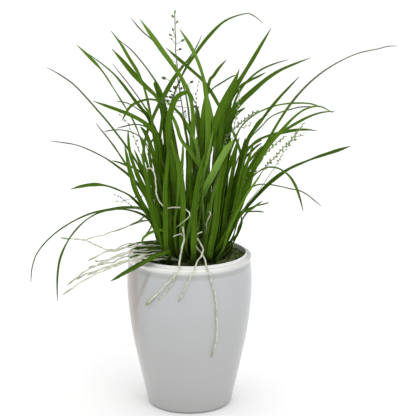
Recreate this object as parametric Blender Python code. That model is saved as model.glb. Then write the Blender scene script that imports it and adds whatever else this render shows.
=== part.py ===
"""A potted gomesa orchid: a glazed ceramic pot, its growing medium, and a clump of
shoots with strap leaves, flower spikes and aerial roots.

Blender 4.5, metres, +Z up. The origin is the centre of the pot's flat base, and
the plant's broad side faces -Y. Lengths in the tables below are millimetres.
"""

import math

import bmesh
import bpy
import numpy as np
from mathutils import Vector

MM = 0.001

# Driving dimensions of the pot, in millimetres
POT_HEIGHT = 162.0
RIM_RADIUS = 65.0
MOUTH_RADIUS = 58.8
RIM_BAND = 4.2
GROOVE_DEPTH = 0.9
BELLY_RADIUS = 65.7
BELLY_HEIGHT = 128.0
SHOULDER_RADIUS = 62.2
SHOULDER_HEIGHT = 88.0
WAIST_RADIUS = 55.5
WAIST_HEIGHT = 52.0
FOOT_RADIUS = 45.2
FOOT_ROUND = 5.0
WALL = 5.2
FLOOR = 8.0
POT_SIDES = 40

# Driving dimensions of the plant, in millimetres
GAP = 0.35
MEDIUM_DEPTH_AT_RIM = 8.0
MOUND = 8.0
MOSS_LUMP = 0.8
BLADE_THICKNESS = 1.3
ROOT_LIFT = 1.8
ROOT_OFF_WALL = 1.0
SHOOT_HEIGHT = 22.0
SHOOT_RADIUS = 4.4
BARK_PLACE = (40.0, 22.0)
BARK_SIZE = (6.4, 5.2, 4.4)

# How far a blade's edges stand above its midrib, as a share of its width
BLADE_FOLD = 0.16

# A shoot's outline as (share of its height, share of its radius)
SHOOT_PROFILE = ((0.0, 0.86), (0.25, 1.0), (0.55, 0.86), (0.82, 0.52), (0.95, 0.25))

# The fineness of the meshes: points on a path while it is moved, rings and sides
STEPS = 45
BLADE_RINGS = 12
STEM_RINGS = 12
BUNDLE_ROOT_RINGS = 14
CURLED_ROOT_RINGS = 22
STEM_SIDES = 5
SHOOT_SIDES = 10

COLOURS = {
    "pot": ((0.74, 0.75, 0.76), 0.22),
    "medium": ((0.05, 0.08, 0.02), 0.95),
    "bark": ((0.10, 0.09, 0.05), 0.90),
    "shoot": ((0.16, 0.27, 0.06), 0.55),
    "leaf": ((0.10, 0.25, 0.03), 0.42),
    "spike": ((0.30, 0.38, 0.14), 0.60),
    "root": ((0.66, 0.68, 0.56), 0.75),
}

# Bases of the shoots on the medium
SHOOTS = ((-25, -4), (-15, -17), (-13, 12), (6, -14), (13, 14), (27, -4))

# How wide each form of blade is along it, as (place, share of its widest). A strap is
# even, a whip is thin over its outer half, a paddle is broad near its tip, an arched blade
# is thin past its arch, a sheathed blade is broad where it leaves its sheath, a footed one
# is broad low down, and a blunt one has a cut tip.
FORMS = {
    "strap": ((0.0, 0.62), (0.15, 0.82), (0.32, 1.0), (0.60, 0.95), (0.78, 0.70), (0.92, 0.34),
              (1.0, 0.0)),
    "whip": ((0.0, 0.66), (0.12, 0.90), (0.28, 1.0), (0.50, 0.68), (0.72, 0.40), (0.90, 0.26),
             (1.0, 0.0)),
    "paddle": ((0.0, 0.40), (0.25, 0.45), (0.45, 0.72), (0.62, 1.0), (0.80, 0.78), (0.93, 0.36),
               (1.0, 0.0)),
    "arched": ((0.0, 0.45), (0.35, 0.55), (0.50, 0.85), (0.62, 1.0), (0.74, 0.62), (0.86, 0.30),
               (0.95, 0.22), (1.0, 0.0)),
    "sheathed": ((0.0, 0.45), (0.16, 0.86), (0.28, 1.0), (0.48, 0.72), (0.70, 0.62), (0.90, 0.32),
                 (1.0, 0.0)),
    "footed": ((0.0, 0.60), (0.20, 1.0), (0.55, 0.85), (0.75, 0.55), (0.92, 0.36), (1.0, 0.0)),
    "blunt": ((0.0, 0.50), (0.20, 0.80), (0.40, 1.0), (0.80, 0.92), (0.94, 0.80), (1.0, 0.45)),
}

# The exponent of a blade's twist along it: a paddle keeps its edge to the front for longer
TWIST = {"strap": 1.0, "whip": 1.0, "paddle": 3.0, "arched": 1.0, "sheathed": 1.0, "footed": 1.0,
         "blunt": 1.0}

# How much closer together a blade's rings stand towards its tip
RING_CROWDING = 0.82

# Each leaf: widest width, form, how far the blade turns its face to the front at its
# base and at its tip (0 none, 1 fully), where it leaves the medium, and its midrib from
# there to the tip
LEAVES = (
    (4.0, "whip", 0.20, 0.20, (-29, -3),
     ((-35, 0, 204), (-41, 2, 224), (-48, 4, 243), (-56, 7, 260), (-67, 9, 276), (-82, 13, 296),
      (-103, 17, 320), (-123, 22, 340), (-147, 26, 354))),
    (6.2, "paddle", 0.05, 0.75, (-22, 8),
     ((-34, 8, 213), (-42, 5, 251), (-48, 2, 275), (-56, -1, 300), (-70, -5, 325), (-82, -8, 346),
      (-91, -10, 359), (-97, -11, 367), (-112, -14, 382))),
    (5.5, "strap", 0.70, 0.50, (-20, -9),
     ((-24, -8, 222), (-27, -3, 263), (-33, 0, 287), (-43, 4, 306), (-56, 7, 322), (-71, 11, 342),
      (-83, 14, 354), (-103, 18, 369))),
    (6.0, "paddle", 0.10, 0.80, (-12, -4),
     ((-28, -6, 232), (-34, -9, 269), (-38, -11, 301), (-42, -14, 325), (-47, -15, 343),
      (-53, -17, 358), (-62, -19, 373), (-69, -21, 387), (-77, -22, 397))),
    (3.6, "whip", 0.20, 0.10, (-8, 20),
     ((-17, 20, 237), (-20, 26, 278), (-25, 32, 311), (-31, 36, 331), (-42, 40, 347), (-52, 44, 360),
      (-62, 47, 371), (-74, 50, 380))),
    (10.5, "sheathed", 0.85, 0.85, (-15, -24),
     ((-20, -28, 183), (-22, -25, 203), (-23, -20, 235), (-23, -12, 275), (-24, -5, 307),
      (-33, -1, 327), (-46, 3, 338), (-60, 8, 354), (-79, 14, 375))),
    (3.8, "whip", 0.20, 0.10, (-14, 24),
     ((-29, 30, 213), (-34, 45, 264), (-42, 57, 297), (-51, 63, 311), (-64, 71, 328), (-83, 82, 350))),
    (6.0, "strap", 0.90, 0.95, (-3, -17),
     ((-1, -16, 208), (0, -19, 251), (3, -23, 293), (3, -26, 322), (-5, -29, 347), (-16, -31, 364),
      (-30, -34, 385), (-47, -38, 410))),
    (6.2, "strap", 0.90, 0.90, (11, -12),
     ((16, -14, 218), (18, -22, 267), (19, -30, 309), (17, -36, 337), (11, -42, 365), (3, -47, 384),
      (-8, -52, 402))),
    (4.8, "strap", 0.80, 0.90, (24, 6),
     ((49, -2, 220), (55, 3, 253), (49, 8, 279), (41, 13, 297), (31, 17, 313), (20, 22, 334),
      (6, 27, 348), (-10, 32, 361), (-24, 36, 373))),
    (5.0, "arched", 0.50, 0.90, (-18, 10),
     ((-24, 6, 229), (-25, 3, 283), (-19, 1, 316), (-7, -1, 349), (8, -3, 373), (21, -5, 391),
      (37, -7, 406), (51, -8, 412), (63, -9, 413), (74, -10, 404))),
    (6.4, "strap", 0.70, 0.80, (13, 8),
     ((25, 10, 212), (27, 16, 259), (34, 23, 302), (43, 27, 324), (53, 31, 340), (67, 36, 363),
      (85, 42, 393))),
    (9.0, "strap", 0.95, 0.95, (4, -6),
     ((11, -10, 206), (15, -11, 249), (21, -12, 277), (28, -13, 304), (35, -14, 322), (44, -15, 340),
      (51, -16, 358))),
    (4.2, "whip", 0.30, 0.10, (16, 24),
     ((27, 30, 213), (36, 44, 264), (47, 60, 310), (58, 68, 330), (72, 75, 342), (86, 81, 349),
      (106, 88, 354))),
    (7.6, "strap", 0.90, 0.65, (20, -8),
     ((25, -8, 201), (30, -2, 252), (37, 4, 298), (55, 8, 322), (71, 11, 336), (87, 14, 349),
      (104, 17, 357), (125, 20, 365))),
    (5.2, "strap", 0.80, 0.80, (27, -10),
     ((45, -14, 203), (52, -16, 229), (54, -20, 261), (59, -23, 286), (72, -26, 305), (88, -29, 328),
      (110, -34, 353))),
    (4.4, "whip", 0.75, 0.30, (33, 4),
     ((51, 4, 204), (59, 7, 227), (70, 11, 255), (87, 17, 288), (102, 22, 312), (120, 27, 333),
      (136, 30, 347), (157, 35, 359), (178, 39, 368), (217, 46, 374))),
    (6.4, "strap", 0.90, 0.50, (30, -14),
     ((48, -18, 205), (59, -25, 240), (74, -33, 273), (91, -41, 297), (110, -49, 319), (123, -53, 326),
      (132, -56, 327), (142, -60, 321))),
    (6.4, "strap", 0.80, 0.75, (28, 12),
     ((38, 14, 190), (53, 19, 229), (72, 24, 261), (84, 27, 276), (99, 30, 286), (122, 35, 299),
      (139, 38, 305), (153, 40, 306))),
    (5.2, "strap", 0.60, 0.80, (24, 18),
     ((37, 22, 193), (50, 37, 233), (62, 50, 262), (75, 57, 272), (92, 64, 277), (110, 72, 279),
      (122, 77, 280), (138, 84, 277))),
    (5.8, "paddle", 0.30, 0.75, (30, -4),
     ((45, -4, 193), (57, -6, 210), (70, -10, 226), (83, -13, 240), (99, -16, 253), (115, -20, 262),
      (140, -25, 273), (163, -30, 282))),
    (5.2, "paddle", 0.30, 0.85, (23, -22),
     ((44, -26, 201), (55, -33, 232), (64, -39, 251), (74, -43, 261), (84, -47, 264), (95, -51, 260),
      (104, -55, 251), (110, -60, 238), (114, -66, 223))),
    (3.8, "whip", 0.30, 0.30, (34, 12),
     ((48, 14, 199), (56, 21, 216), (64, 27, 226), (74, 33, 228), (90, 40, 226), (107, 49, 220),
      (122, 57, 215), (143, 70, 196))),
    (4.8, "whip", 0.70, 0.30, (-30, 6),
     ((-35, 8, 194), (-45, 14, 217), (-57, 21, 234), (-71, 27, 245), (-88, 34, 256), (-106, 40, 264),
      (-123, 47, 269), (-149, 56, 271))),
    (5.6, "paddle", 0.10, 0.85, (-27, -9),
     ((-34, -14, 190), (-42, -19, 207), (-50, -24, 218), (-60, -30, 230), (-72, -36, 238),
      (-83, -41, 243), (-95, -47, 246), (-104, -51, 246), (-117, -58, 244))),
    (4.8, "strap", 0.70, 0.70, (-20, 18),
     ((-35, 22, 181), (-44, 29, 198), (-54, 36, 213), (-63, 48, 236), (-72, 56, 250), (-85, 67, 267),
      (-102, 80, 286))),
    (5.8, "strap", 0.70, 0.75, (-6, -8),
     ((-22, -10, 228), (-27, -14, 270), (-33, -24, 293), (-44, -34, 306), (-54, -43, 314),
      (-66, -50, 321), (-77, -56, 326), (-93, -62, 333))),
    (9.0, "footed", 0.90, 0.90, (-23, -20),
     ((-31, -26, 190), (-36, -29, 212), (-43, -32, 231), (-51, -36, 250), (-57, -39, 268),
      (-60, -43, 285), (-60, -46, 302))),
    (4.4, "whip", 0.70, 0.40, (-31, 1),
     ((-36, 0, 192), (-42, 1, 205), (-55, 2, 210), (-70, 3, 210), (-87, 4, 207), (-104, 5, 203),
      (-129, 8, 190), (-153, 10, 170), (-166, 12, 148), (-169, 14, 126))),
    (5.0, "paddle", 0.20, 0.60, (-29, -12),
     ((-35, -18, 192), (-44, -20, 207), (-58, -23, 213), (-81, -27, 215), (-99, -31, 209),
      (-112, -34, 199), (-123, -38, 185), (-131, -43, 167), (-134, -47, 146), (-134, -52, 126))),
    (7.4, "strap", 0.90, 0.90, (-20, -28),
     ((-27, -38, 170), (-33, -41, 170), (-43, -47, 166), (-56, -56, 161), (-78, -73, 153))),
    (7.5, "blunt", 0.95, 0.95, (6, -21),
     ((3, -24, 192), (6, -27, 214), (14, -30, 233), (24, -34, 253), (34, -38, 273), (45, -42, 291))),
    (7.6, "sheathed", 0.95, 0.95, (-9, -12),
     ((-11, -18, 208), (-16, -22, 251), (-20, -25, 288), (-19, -28, 314), (-11, -30, 332),
      (-3, -32, 340), (2, -33, 337), (7, -34, 326))),
    (7.5, "strap", 0.00, 0.00, (-6, 25),
     ((-8, 40, 215), (-16, 80, 252), (-26, 118, 258))),
    (7.5, "strap", 0.00, 0.00, (4, 23),
     ((6, 38, 230), (8, 78, 266), (12, 128, 262))),
    (7.5, "strap", 0.00, 0.00, (22, 27),
     ((28, 40, 205), (34, 76, 242), (44, 116, 246))),
    (7.0, "strap", 0.00, 0.00, (10, 30),
     ((14, 52, 190), (20, 90, 206), (26, 126, 188))),
)

# Each flower spike: its radius at the base, where it leaves the medium, its stem from there
# to the tip, and its buds as (place along the stem, side, -1 left or 1 right, stalk length,
# bud length)
SPIKES = (
    (1.0, (1, 2),
     ((-3, 0, 230), (-2, -6, 278), (-7, -12, 319), (-12, -14, 361), (-13, -15, 390), (-14, -16, 416)),
     ((0.640, 1, 9, 5), (0.655, -1, 5, 4), (0.700, -1, 7, 4), (0.725, 1, 6, 5), (0.745, -1, 13, 5),
      (0.800, 1, 4, 4), (0.835, -1, 8, 4), (0.880, 1, 5, 4), (0.925, -1, 4, 4), (0.960, 1, 3, 4))),
    (0.8, (27, 2),
     ((57, 4, 219), (78, 6, 251), (93, 8, 268), (107, 10, 282), (119, 12, 299)),
     ((0.620, -1, 2, 4), (0.690, 1, 3, 4), (0.760, -1, 2, 4), (0.820, 1, 3, 4), (0.880, -1, 3, 3),
      (0.940, 1, 3, 3))),
    (0.8, (31, -12),
     ((56, -14, 213), (75, -20, 239), (88, -26, 261), (99, -30, 281), (109, -34, 298)),
     ((0.560, 1, 2, 4), (0.650, -1, 2, 4), (0.730, 1, 2, 4), (0.800, -1, 2, 3), (0.870, 1, 4, 4),
      (0.940, -1, 2, 3))),
    (0.7, (-23, -2),
     ((-38, -10, 233), (-47, -14, 264), (-54, -16, 282), (-60, -18, 301), (-70, -20, 313)),
     ((0.720, 1, 3, 3), (0.790, 1, 3, 3), (0.860, -1, 3, 3), (0.930, -1, 3, 3))),
    (0.7, (17, -14),
     ((38, -24, 246), (45, -34, 298), (49, -38, 321), (51, -42, 342)),
     ((0.700, 1, 6, 4), (0.770, -1, 3, 3), (0.840, 1, 4, 3), (0.920, -1, 3, 3))),
)

# Roots in the air: radius at the base, and the middle of the root
AIR_ROOTS = (
    (0.9, ((-24, -14, 165), (-29, -16, 187), (-35, -18, 208), (-39, -20, 225), (-41, -26, 240),
           (-43, -42, 260), (-40, -48, 263), (-35, -50, 262), (-33, -50, 254), (-33, -49, 243),
           (-31, -48, 233), (-28, -47, 226), (-22, -46, 222), (-12, -45, 222), (-3, -46, 221),
           (1, -46, 217), (0, -48, 212), (-6, -50, 208), (-13, -52, 203))),
    (1.0, ((-17, -15, 164), (-27, -23, 172), (-40, -29, 178), (-61, -31, 177), (-84, -30, 172),
           (-104, -30, 162))),
    (1.0, ((-14, -26, 163), (-26, -35, 169), (-42, -42, 172), (-64, -45, 165), (-84, -46, 160),
           (-104, -46, 151))),
    (1.0, ((-12, -20, 164), (-24, -27, 171), (-40, -31, 174), (-53, -34, 174), (-66, -37, 171),
           (-79, -37, 166), (-91, -37, 161), (-108, -37, 152), (-125, -37, 138))),
    (1.0, ((-10, -32, 163), (-24, -42, 168), (-37, -48, 169), (-50, -52, 171), (-62, -54, 168),
           (-75, -54, 163), (-93, -52, 155), (-111, -52, 145), (-119, -52, 139), (-129, -52, 132))),
)

# Roots over the rim: radius, where each starts among the leaves, the bearing from the
# front at which it crosses the rim, and its bearings and heights down the wall
RIM_ROOTS = (
    (1.0, ((-6, -44, 202), (-5, -47, 188), (-8, -51, 177)), -9.0,
     ((-12, 156), (-18, 149), (-24, 141), (-32, 131), (-41, 121))),
    (0.9, ((8, -42, 190), (14, -48, 181), (13, -53, 175), (9, -57, 169)), 5.5,
     ((2, 156), (-1, 149), (-4, 141), (-9, 129))),
    (0.9, ((5, -40, 184), (9, -43, 178), (15, -49, 172)), 17.0,
     ((19, 155), (21, 145), (24, 130), (25, 112), (26, 88), (22, 66))),
)


def unit(vector):
    return vector / np.linalg.norm(vector)


def smooth_path(points, count):
    """Points at equal steps along a smooth curve through the given points."""
    knots = np.array(points, float)
    ends = np.vstack([2 * knots[0] - knots[1], knots, 2 * knots[-1] - knots[-2]])
    fine = []
    for i in range(1, len(ends) - 2):
        before, start, stop, after = ends[i - 1 : i + 3]
        for t in np.linspace(0, 1, 24, endpoint=False):
            fine.append(
                0.5 * (2 * start + (stop - before) * t
                       + (2 * before - 5 * start + 4 * stop - after) * t**2
                       + (3 * start - before - 3 * stop + after) * t**3)
            )
    fine = np.array(fine + [knots[-1]])
    along = np.concatenate([[0], np.cumsum(np.linalg.norm(np.diff(fine, axis=0), axis=1))])
    at = np.linspace(0, along[-1], count)
    return np.column_stack([np.interp(at, along, fine[:, axis]) for axis in range(3)])


def tangents(path):
    steps = np.gradient(path, axis=0)
    return steps / np.linalg.norm(steps, axis=1)[:, None]


def pot_outline():
    """The pot's profile as (radius, height), from the inner floor over the rim to the base."""
    top = POT_HEIGHT
    body = smooth_path(
        ((RIM_RADIUS - GROOVE_DEPTH, top - RIM_BAND - 2.4, 0), (BELLY_RADIUS, BELLY_HEIGHT, 0),
         (SHOULDER_RADIUS, SHOULDER_HEIGHT, 0), (WAIST_RADIUS, WAIST_HEIGHT, 0),
         (FOOT_RADIUS, FOOT_ROUND, 0)), 10)[:, :2]
    foot = [
        (FOOT_RADIUS - FOOT_ROUND * (1 - math.cos(a)), FOOT_ROUND * (1 - math.sin(a)))
        for a in np.radians((30, 60, 90))
    ]
    rim_middle = (RIM_RADIUS + MOUTH_RADIUS) / 2
    rim_half = (RIM_RADIUS - MOUTH_RADIUS) / 2
    rim = [
        (rim_middle - rim_half * math.cos(a), top - RIM_BAND / 2 + RIM_BAND / 2 * math.sin(a))
        for a in np.radians((0, 45, 90, 135, 180, 215))
    ]
    inner = [(radius - WALL, height) for radius, height in body[::-3][:-1]]
    inner = [(inner[0][0], FLOOR)] + [spot for spot in inner if spot[1] > 2 * FLOOR]
    return [(0.0, FLOOR)] + inner + rim + [tuple(spot) for spot in body] + foot + [(0.0, 0.0)]


OUTLINE = pot_outline()
RIM_TOP = max(range(len(OUTLINE)), key=lambda spot: OUTLINE[spot][1])


def radius_at(height, side):
    """The radius of one side of the pot's wall at a height: side is a run of outline points."""
    rising = sorted(side, key=lambda spot: spot[1])
    return float(np.interp(height, [spot[1] for spot in rising], [spot[0] for spot in rising]))


def outer_radius(height):
    return radius_at(height, OUTLINE[RIM_TOP + 1 : -1])


def inner_radius(height):
    return radius_at(height, OUTLINE[1:RIM_TOP])


def medium_height(x, y):
    """The top of the growing medium: a low mound, uneven as moss is."""
    reach = min(1.0, math.hypot(x, y) / MOUTH_RADIUS)
    lumps = math.sin(0.31 * x + 1.0) * math.cos(0.27 * y) + math.sin(0.17 * x - 0.23 * y)
    return POT_HEIGHT - MEDIUM_DEPTH_AT_RIM + MOUND * (1 - reach**2) + MOSS_LUMP * lumps * (1 - reach**4)


def on_medium(spot):
    return (*spot, medium_height(*spot) + ROOT_LIFT)


def blade_width(form, along):
    """The blade's width at a place along it, as a share of its widest."""
    places, shares = zip(*FORMS[form])
    return float(np.interp(along, places, shares))


def material(name):
    colour, roughness = COLOURS[name]
    made = bpy.data.materials.new(name)
    made.use_nodes = True
    shader = made.node_tree.nodes["Principled BSDF"]
    shader.inputs["Base Color"].default_value = (*colour, 1.0)
    shader.inputs["Roughness"].default_value = roughness
    shader.inputs["Metallic"].default_value = 0.0
    return made


def new_object(name, points, faces, finish, smooth=True):
    mesh = bpy.data.meshes.new(name)
    mesh.from_pydata([tuple(float(v) * MM for v in point) for point in points], [], faces)
    mesh.validate()
    shaped = bmesh.new()
    shaped.from_mesh(mesh)
    bmesh.ops.recalc_face_normals(shaped, faces=shaped.faces)
    shaped.to_mesh(mesh)
    shaped.free()
    if smooth:
        mesh.shade_smooth()
        mesh.set_sharp_from_angle(angle=math.radians(50))
    mesh.materials.append(finish)
    made = bpy.data.objects.new(name, mesh)
    bpy.context.scene.collection.objects.link(made)
    return made


def ring_faces(rings, sides):
    """Quads between rings of points, a cap on the first ring and a fan to the last point."""
    faces = [tuple(range(sides))]
    for ring in range(rings - 1):
        low = ring * sides
        for side in range(sides):
            nxt = (side + 1) % sides
            faces.append((low + side, low + nxt, low + sides + nxt, low + sides + side))
    last = (rings - 1) * sides
    faces += [(last + side, last + (side + 1) % sides, rings * sides) for side in range(sides)]
    return faces


def blade_points(path, width, form, turn_base, turn_tip):
    """A folded blade round its midrib: left edge, midrib, right edge and underside at each ring."""
    heading = path[-1] - path[0]
    heading[2] = 0
    if abs(heading[0]) > 0.3 * abs(heading[1]):
        heading[1] = 0
    heading = unit(heading)
    up = np.array((0.0, 0.0, 1.0))
    front = np.array((0.0, -1.0, 0.0))
    points = []
    for ring, (spot, along) in enumerate(zip(path[:-1], tangents(path))):
        place = (ring / (len(path) - 1)) ** RING_CROWDING
        turn = turn_base + (turn_tip - turn_base) * place ** TWIST[form]
        face = unit(up * (along @ heading) - heading * (along @ up))
        face = (1 - turn) * face + turn * front
        face = unit(face - along * (face @ along))
        across = np.cross(along, face)
        wide = width * blade_width(form, place)
        thick = BLADE_THICKNESS * min(1.0, 0.35 + 0.65 * wide / width)
        rise = BLADE_FOLD * wide
        points += [
            spot - across * wide / 2 + face * rise,
            spot + face * thick / 2,
            spot + across * wide / 2 + face * rise,
            spot - face * thick / 2,
        ]
    return points + [path[-1]]


def tube_points(path, radii, sides):
    """A tube round a path, ending in a point."""
    along = tangents(path)
    aside = unit(np.cross(along[0], (0.3, 0.9, 0.2)))
    points = []
    for spot, way, radius in zip(path[:-1], along, radii):
        aside = unit(aside - way * (aside @ way))
        other = np.cross(way, aside)
        for side in range(sides):
            angle = 2 * math.pi * side / sides
            points.append(spot + radius * (aside * math.cos(angle) + other * math.sin(angle)))
    return points + [path[-1]]


def push_apart(strands, posts, rounds=72, relist=8):
    """Moves blades, stems and roots apart until their middles keep their clearances.

    Each strand is (path, clearance, free): clearance is a half width at each point, and
    free is how far each point may move. They move mostly in depth, so that the outline
    seen from the front stays as set. Each post is a shoot that stays where it is.
    """
    lean_back = 0.3
    share_of_way = (0.5, 1.0, 0.3)
    step = 0.6
    spread = 0.8
    settle = 0.55
    paths = np.array([strand[0] for strand in strands])
    count, steps, _ = paths.shape
    reach = np.array([strand[1] for strand in strands]).reshape(-1)
    free = np.array([strand[2] for strand in strands], float)[:, :, None]
    owner = np.repeat(np.arange(count), steps)
    for turn in range(rounds):
        flat = paths.reshape(-1, 3)
        if turn % relist == 0:
            one, two = near_pairs(flat, owner, reach)
            need = reach[one] + reach[two]
        away = flat[one] - flat[two]
        lack = np.maximum(0.0, need - np.linalg.norm(away, axis=1))
        away[:, 1] -= lean_back
        away *= share_of_way
        away *= (lack / (np.linalg.norm(away, axis=1) + 1e-9))[:, None]
        touching = (lack > 0).astype(float)
        hits = np.bincount(one, touching, len(flat)) + np.bincount(two, touching, len(flat))
        shift = np.column_stack([
            np.bincount(one, away[:, axis], len(flat)) - np.bincount(two, away[:, axis], len(flat))
            for axis in range(3)
        ])
        shift *= (step / np.maximum(1, hits) ** 0.7)[:, None]
        for x, y, radius, height in posts:
            beside = flat[:, :2] - (x, y)
            near = np.linalg.norm(beside, axis=1)
            short = np.where(flat[:, 2] < height + reach, np.maximum(0.0, radius + reach - near), 0.0)
            shift[:, :2] += beside / (near[:, None] + 1e-9) * short[:, None] * 0.5
        shift = shift.reshape(count, steps, 3) * free
        smooth = shift.copy()
        for span in (1, 2, 3):
            smooth[:, span:] += shift[:, :-span] * (spread / span)
            smooth[:, :-span] += shift[:, span:] * (spread / span)
        paths = paths + smooth * settle * free
    return paths


def near_pairs(flat, owner, reach, margin=8.0):
    """Pairs of points on different strands that are close enough to meet soon."""
    one, two = [], []
    for index in range(len(flat)):
        later = slice(index + 1, None)
        close = np.linalg.norm(flat[later] - flat[index], axis=1) < reach[later] + reach[index] + margin
        found = np.nonzero(close & (owner[later] != owner[index]))[0] + index + 1
        one.append(np.full(len(found), index))
        two.append(found)
    return np.concatenate(one), np.concatenate(two)


def resample(path, count, crowding=1.0):
    """Points along a moved path, evened out; a crowding under 1 brings them closer at its end."""
    even = smooth_path(path[:: max(1, len(path) // 14)].tolist() + [path[-1].tolist()], 8 * count)
    at = np.linspace(0, 1, count) ** crowding * (len(even) - 1)
    steps = np.arange(len(even))
    return np.column_stack([np.interp(at, steps, even[:, axis]) for axis in range(3)])


def fuse(stem, pieces):
    """Joins closed pieces to a stem by a Boolean union, and hides them as guides."""
    shapes = bpy.data.collections.new(stem.name + "_pieces")
    bpy.context.scene.collection.children.link(shapes)
    for piece in pieces:
        bpy.context.scene.collection.objects.unlink(piece)
        shapes.objects.link(piece)
        piece.hide_render = True
        piece.display_type = "WIRE"
    union = stem.modifiers.new("buds", "BOOLEAN")
    union.operation = "UNION"
    union.operand_type = "COLLECTION"
    union.collection = shapes
    union.solver = "EXACT"


def clear_scene():
    for old in list(bpy.data.objects):
        bpy.data.objects.remove(old, do_unlink=True)


def make_pot():
    mesh = bpy.data.meshes.new("pot")
    spots = [(radius * MM, 0.0, height * MM) for radius, height in OUTLINE]
    mesh.from_pydata(spots, [(i, i + 1) for i in range(len(spots) - 1)], [])
    mesh.materials.append(material("pot"))
    pot = bpy.data.objects.new("pot", mesh)
    bpy.context.scene.collection.objects.link(pot)
    turned = pot.modifiers.new("turned", "SCREW")
    turned.steps = POT_SIDES
    turned.render_steps = POT_SIDES
    turned.use_merge_vertices = True
    turned.merge_threshold = 0.00001
    turned.use_smooth_shade = True
    return pot


def make_medium():
    """Fills the pot to just under the rim, with a gap to the wall and the floor."""
    sides = POT_SIDES // 2
    edge = POT_HEIGHT - MEDIUM_DEPTH_AT_RIM
    levels = (FLOOR + GAP, 60.0, 105.0, edge - 4.0)
    shares = (1.0, 0.82, 0.62, 0.42, 0.2)
    around = [2 * math.pi * side / sides for side in range(sides)]
    points = []
    for height in levels:
        reach = inner_radius(height) - 2 * GAP
        points += [(reach * math.cos(angle), reach * math.sin(angle), height) for angle in around]
    for share in shares:
        reach = (inner_radius(edge) - 2 * GAP) * share
        for angle in around:
            x = reach * math.cos(angle)
            y = reach * math.sin(angle)
            points.append((x, y, medium_height(x, y)))
    points.append((0.0, 0.0, medium_height(0, 0)))
    faces = ring_faces(len(levels) + len(shares), sides)
    new_object("growing_medium", points, faces, material("medium"))


def make_bark(finish):
    """A rounded chip of bark on the medium at the right of the clump."""
    shaped = bmesh.new()
    bmesh.ops.create_icosphere(shaped, subdivisions=2, radius=1.0)
    half_long, half_deep, half_high = BARK_SIZE
    centre = Vector((*BARK_PLACE, medium_height(*BARK_PLACE) + 1.1 * half_high))
    for vert in shaped.verts:
        lump = 1 + 0.07 * math.sin(5 * vert.co.x + 2) * math.cos(4 * vert.co.y)
        high = max(vert.co.z, -0.55) * half_high
        spot = Vector((vert.co.x * half_long, vert.co.y * half_deep, high))
        vert.co = (centre + spot * lump) * MM
    mesh = bpy.data.meshes.new("bark_chip")
    shaped.to_mesh(mesh)
    shaped.free()
    mesh.shade_smooth()
    mesh.materials.append(finish)
    bpy.context.scene.collection.objects.link(bpy.data.objects.new("bark_chip", mesh))


def make_shoot(number, x, y, finish):
    """A flattened young bulb in its sheaths: ridged, broad at its foot and pointed at its top."""
    around = [2 * math.pi * side / SHOOT_SIDES for side in range(SHOOT_SIDES)]
    ground = [
        medium_height(x + SHOOT_RADIUS * math.cos(angle), y + SHOOT_RADIUS * math.sin(angle))
        for angle in around
    ]
    base = max(ground) + 2 * GAP
    flattened = 0.75
    furrow = 0.88
    points = []
    for share, swell in SHOOT_PROFILE:
        for side, angle in enumerate(around):
            radius = SHOOT_RADIUS * swell * (1.0 if side % 2 else furrow)
            points.append((x + radius * math.cos(angle), y + flattened * radius * math.sin(angle),
                           base + SHOOT_HEIGHT * share))
    points.append((x, y, base + SHOOT_HEIGHT))
    new_object(f"shoot_{number}", points, ring_faces(len(SHOOT_PROFILE), SHOOT_SIDES), finish)


def bud_on(stem_path, place, side, stalk, length, finish):
    """A short stalk that leaves the stem and swells to a bud."""
    at = int(round(place * (len(stem_path) - 1)))
    start = stem_path[at]
    way = unit(tangents(stem_path)[at] * 0.8 + np.array((side, -0.25, 0.0)))
    tip = start + way * (stalk + length)
    bend = start + way * stalk * 0.6 - np.array((0, 0, 0.4))
    path = smooth_path((start, bend, start + way * stalk, tip), 6)
    radii = (0.35, 0.35, 0.45, 1.05, 1.0)
    return new_object("bud", tube_points(path, radii, 4), ring_faces(5, 4), finish, smooth=False)


def rim_root_path(inside, crossing, wall, radius):
    """A root from inside the pot, over the rim and down the wall, just clear of the glaze."""
    clear = radius + GAP

    def place(degrees, reach, height):
        angle = math.radians(degrees)
        return (reach * math.sin(angle), -reach * math.cos(angle), height)

    middle = (RIM_RADIUS + MOUTH_RADIUS) / 2
    spots = list(inside)
    spots.append(place(crossing, middle - 1.0, POT_HEIGHT + clear + GAP))
    spots.append(place(crossing, RIM_RADIUS + clear, POT_HEIGHT))
    for degrees, height in wall:
        spots.append(place(degrees, outer_radius(height) + clear + ROOT_OFF_WALL, height))
    return spots


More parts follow.
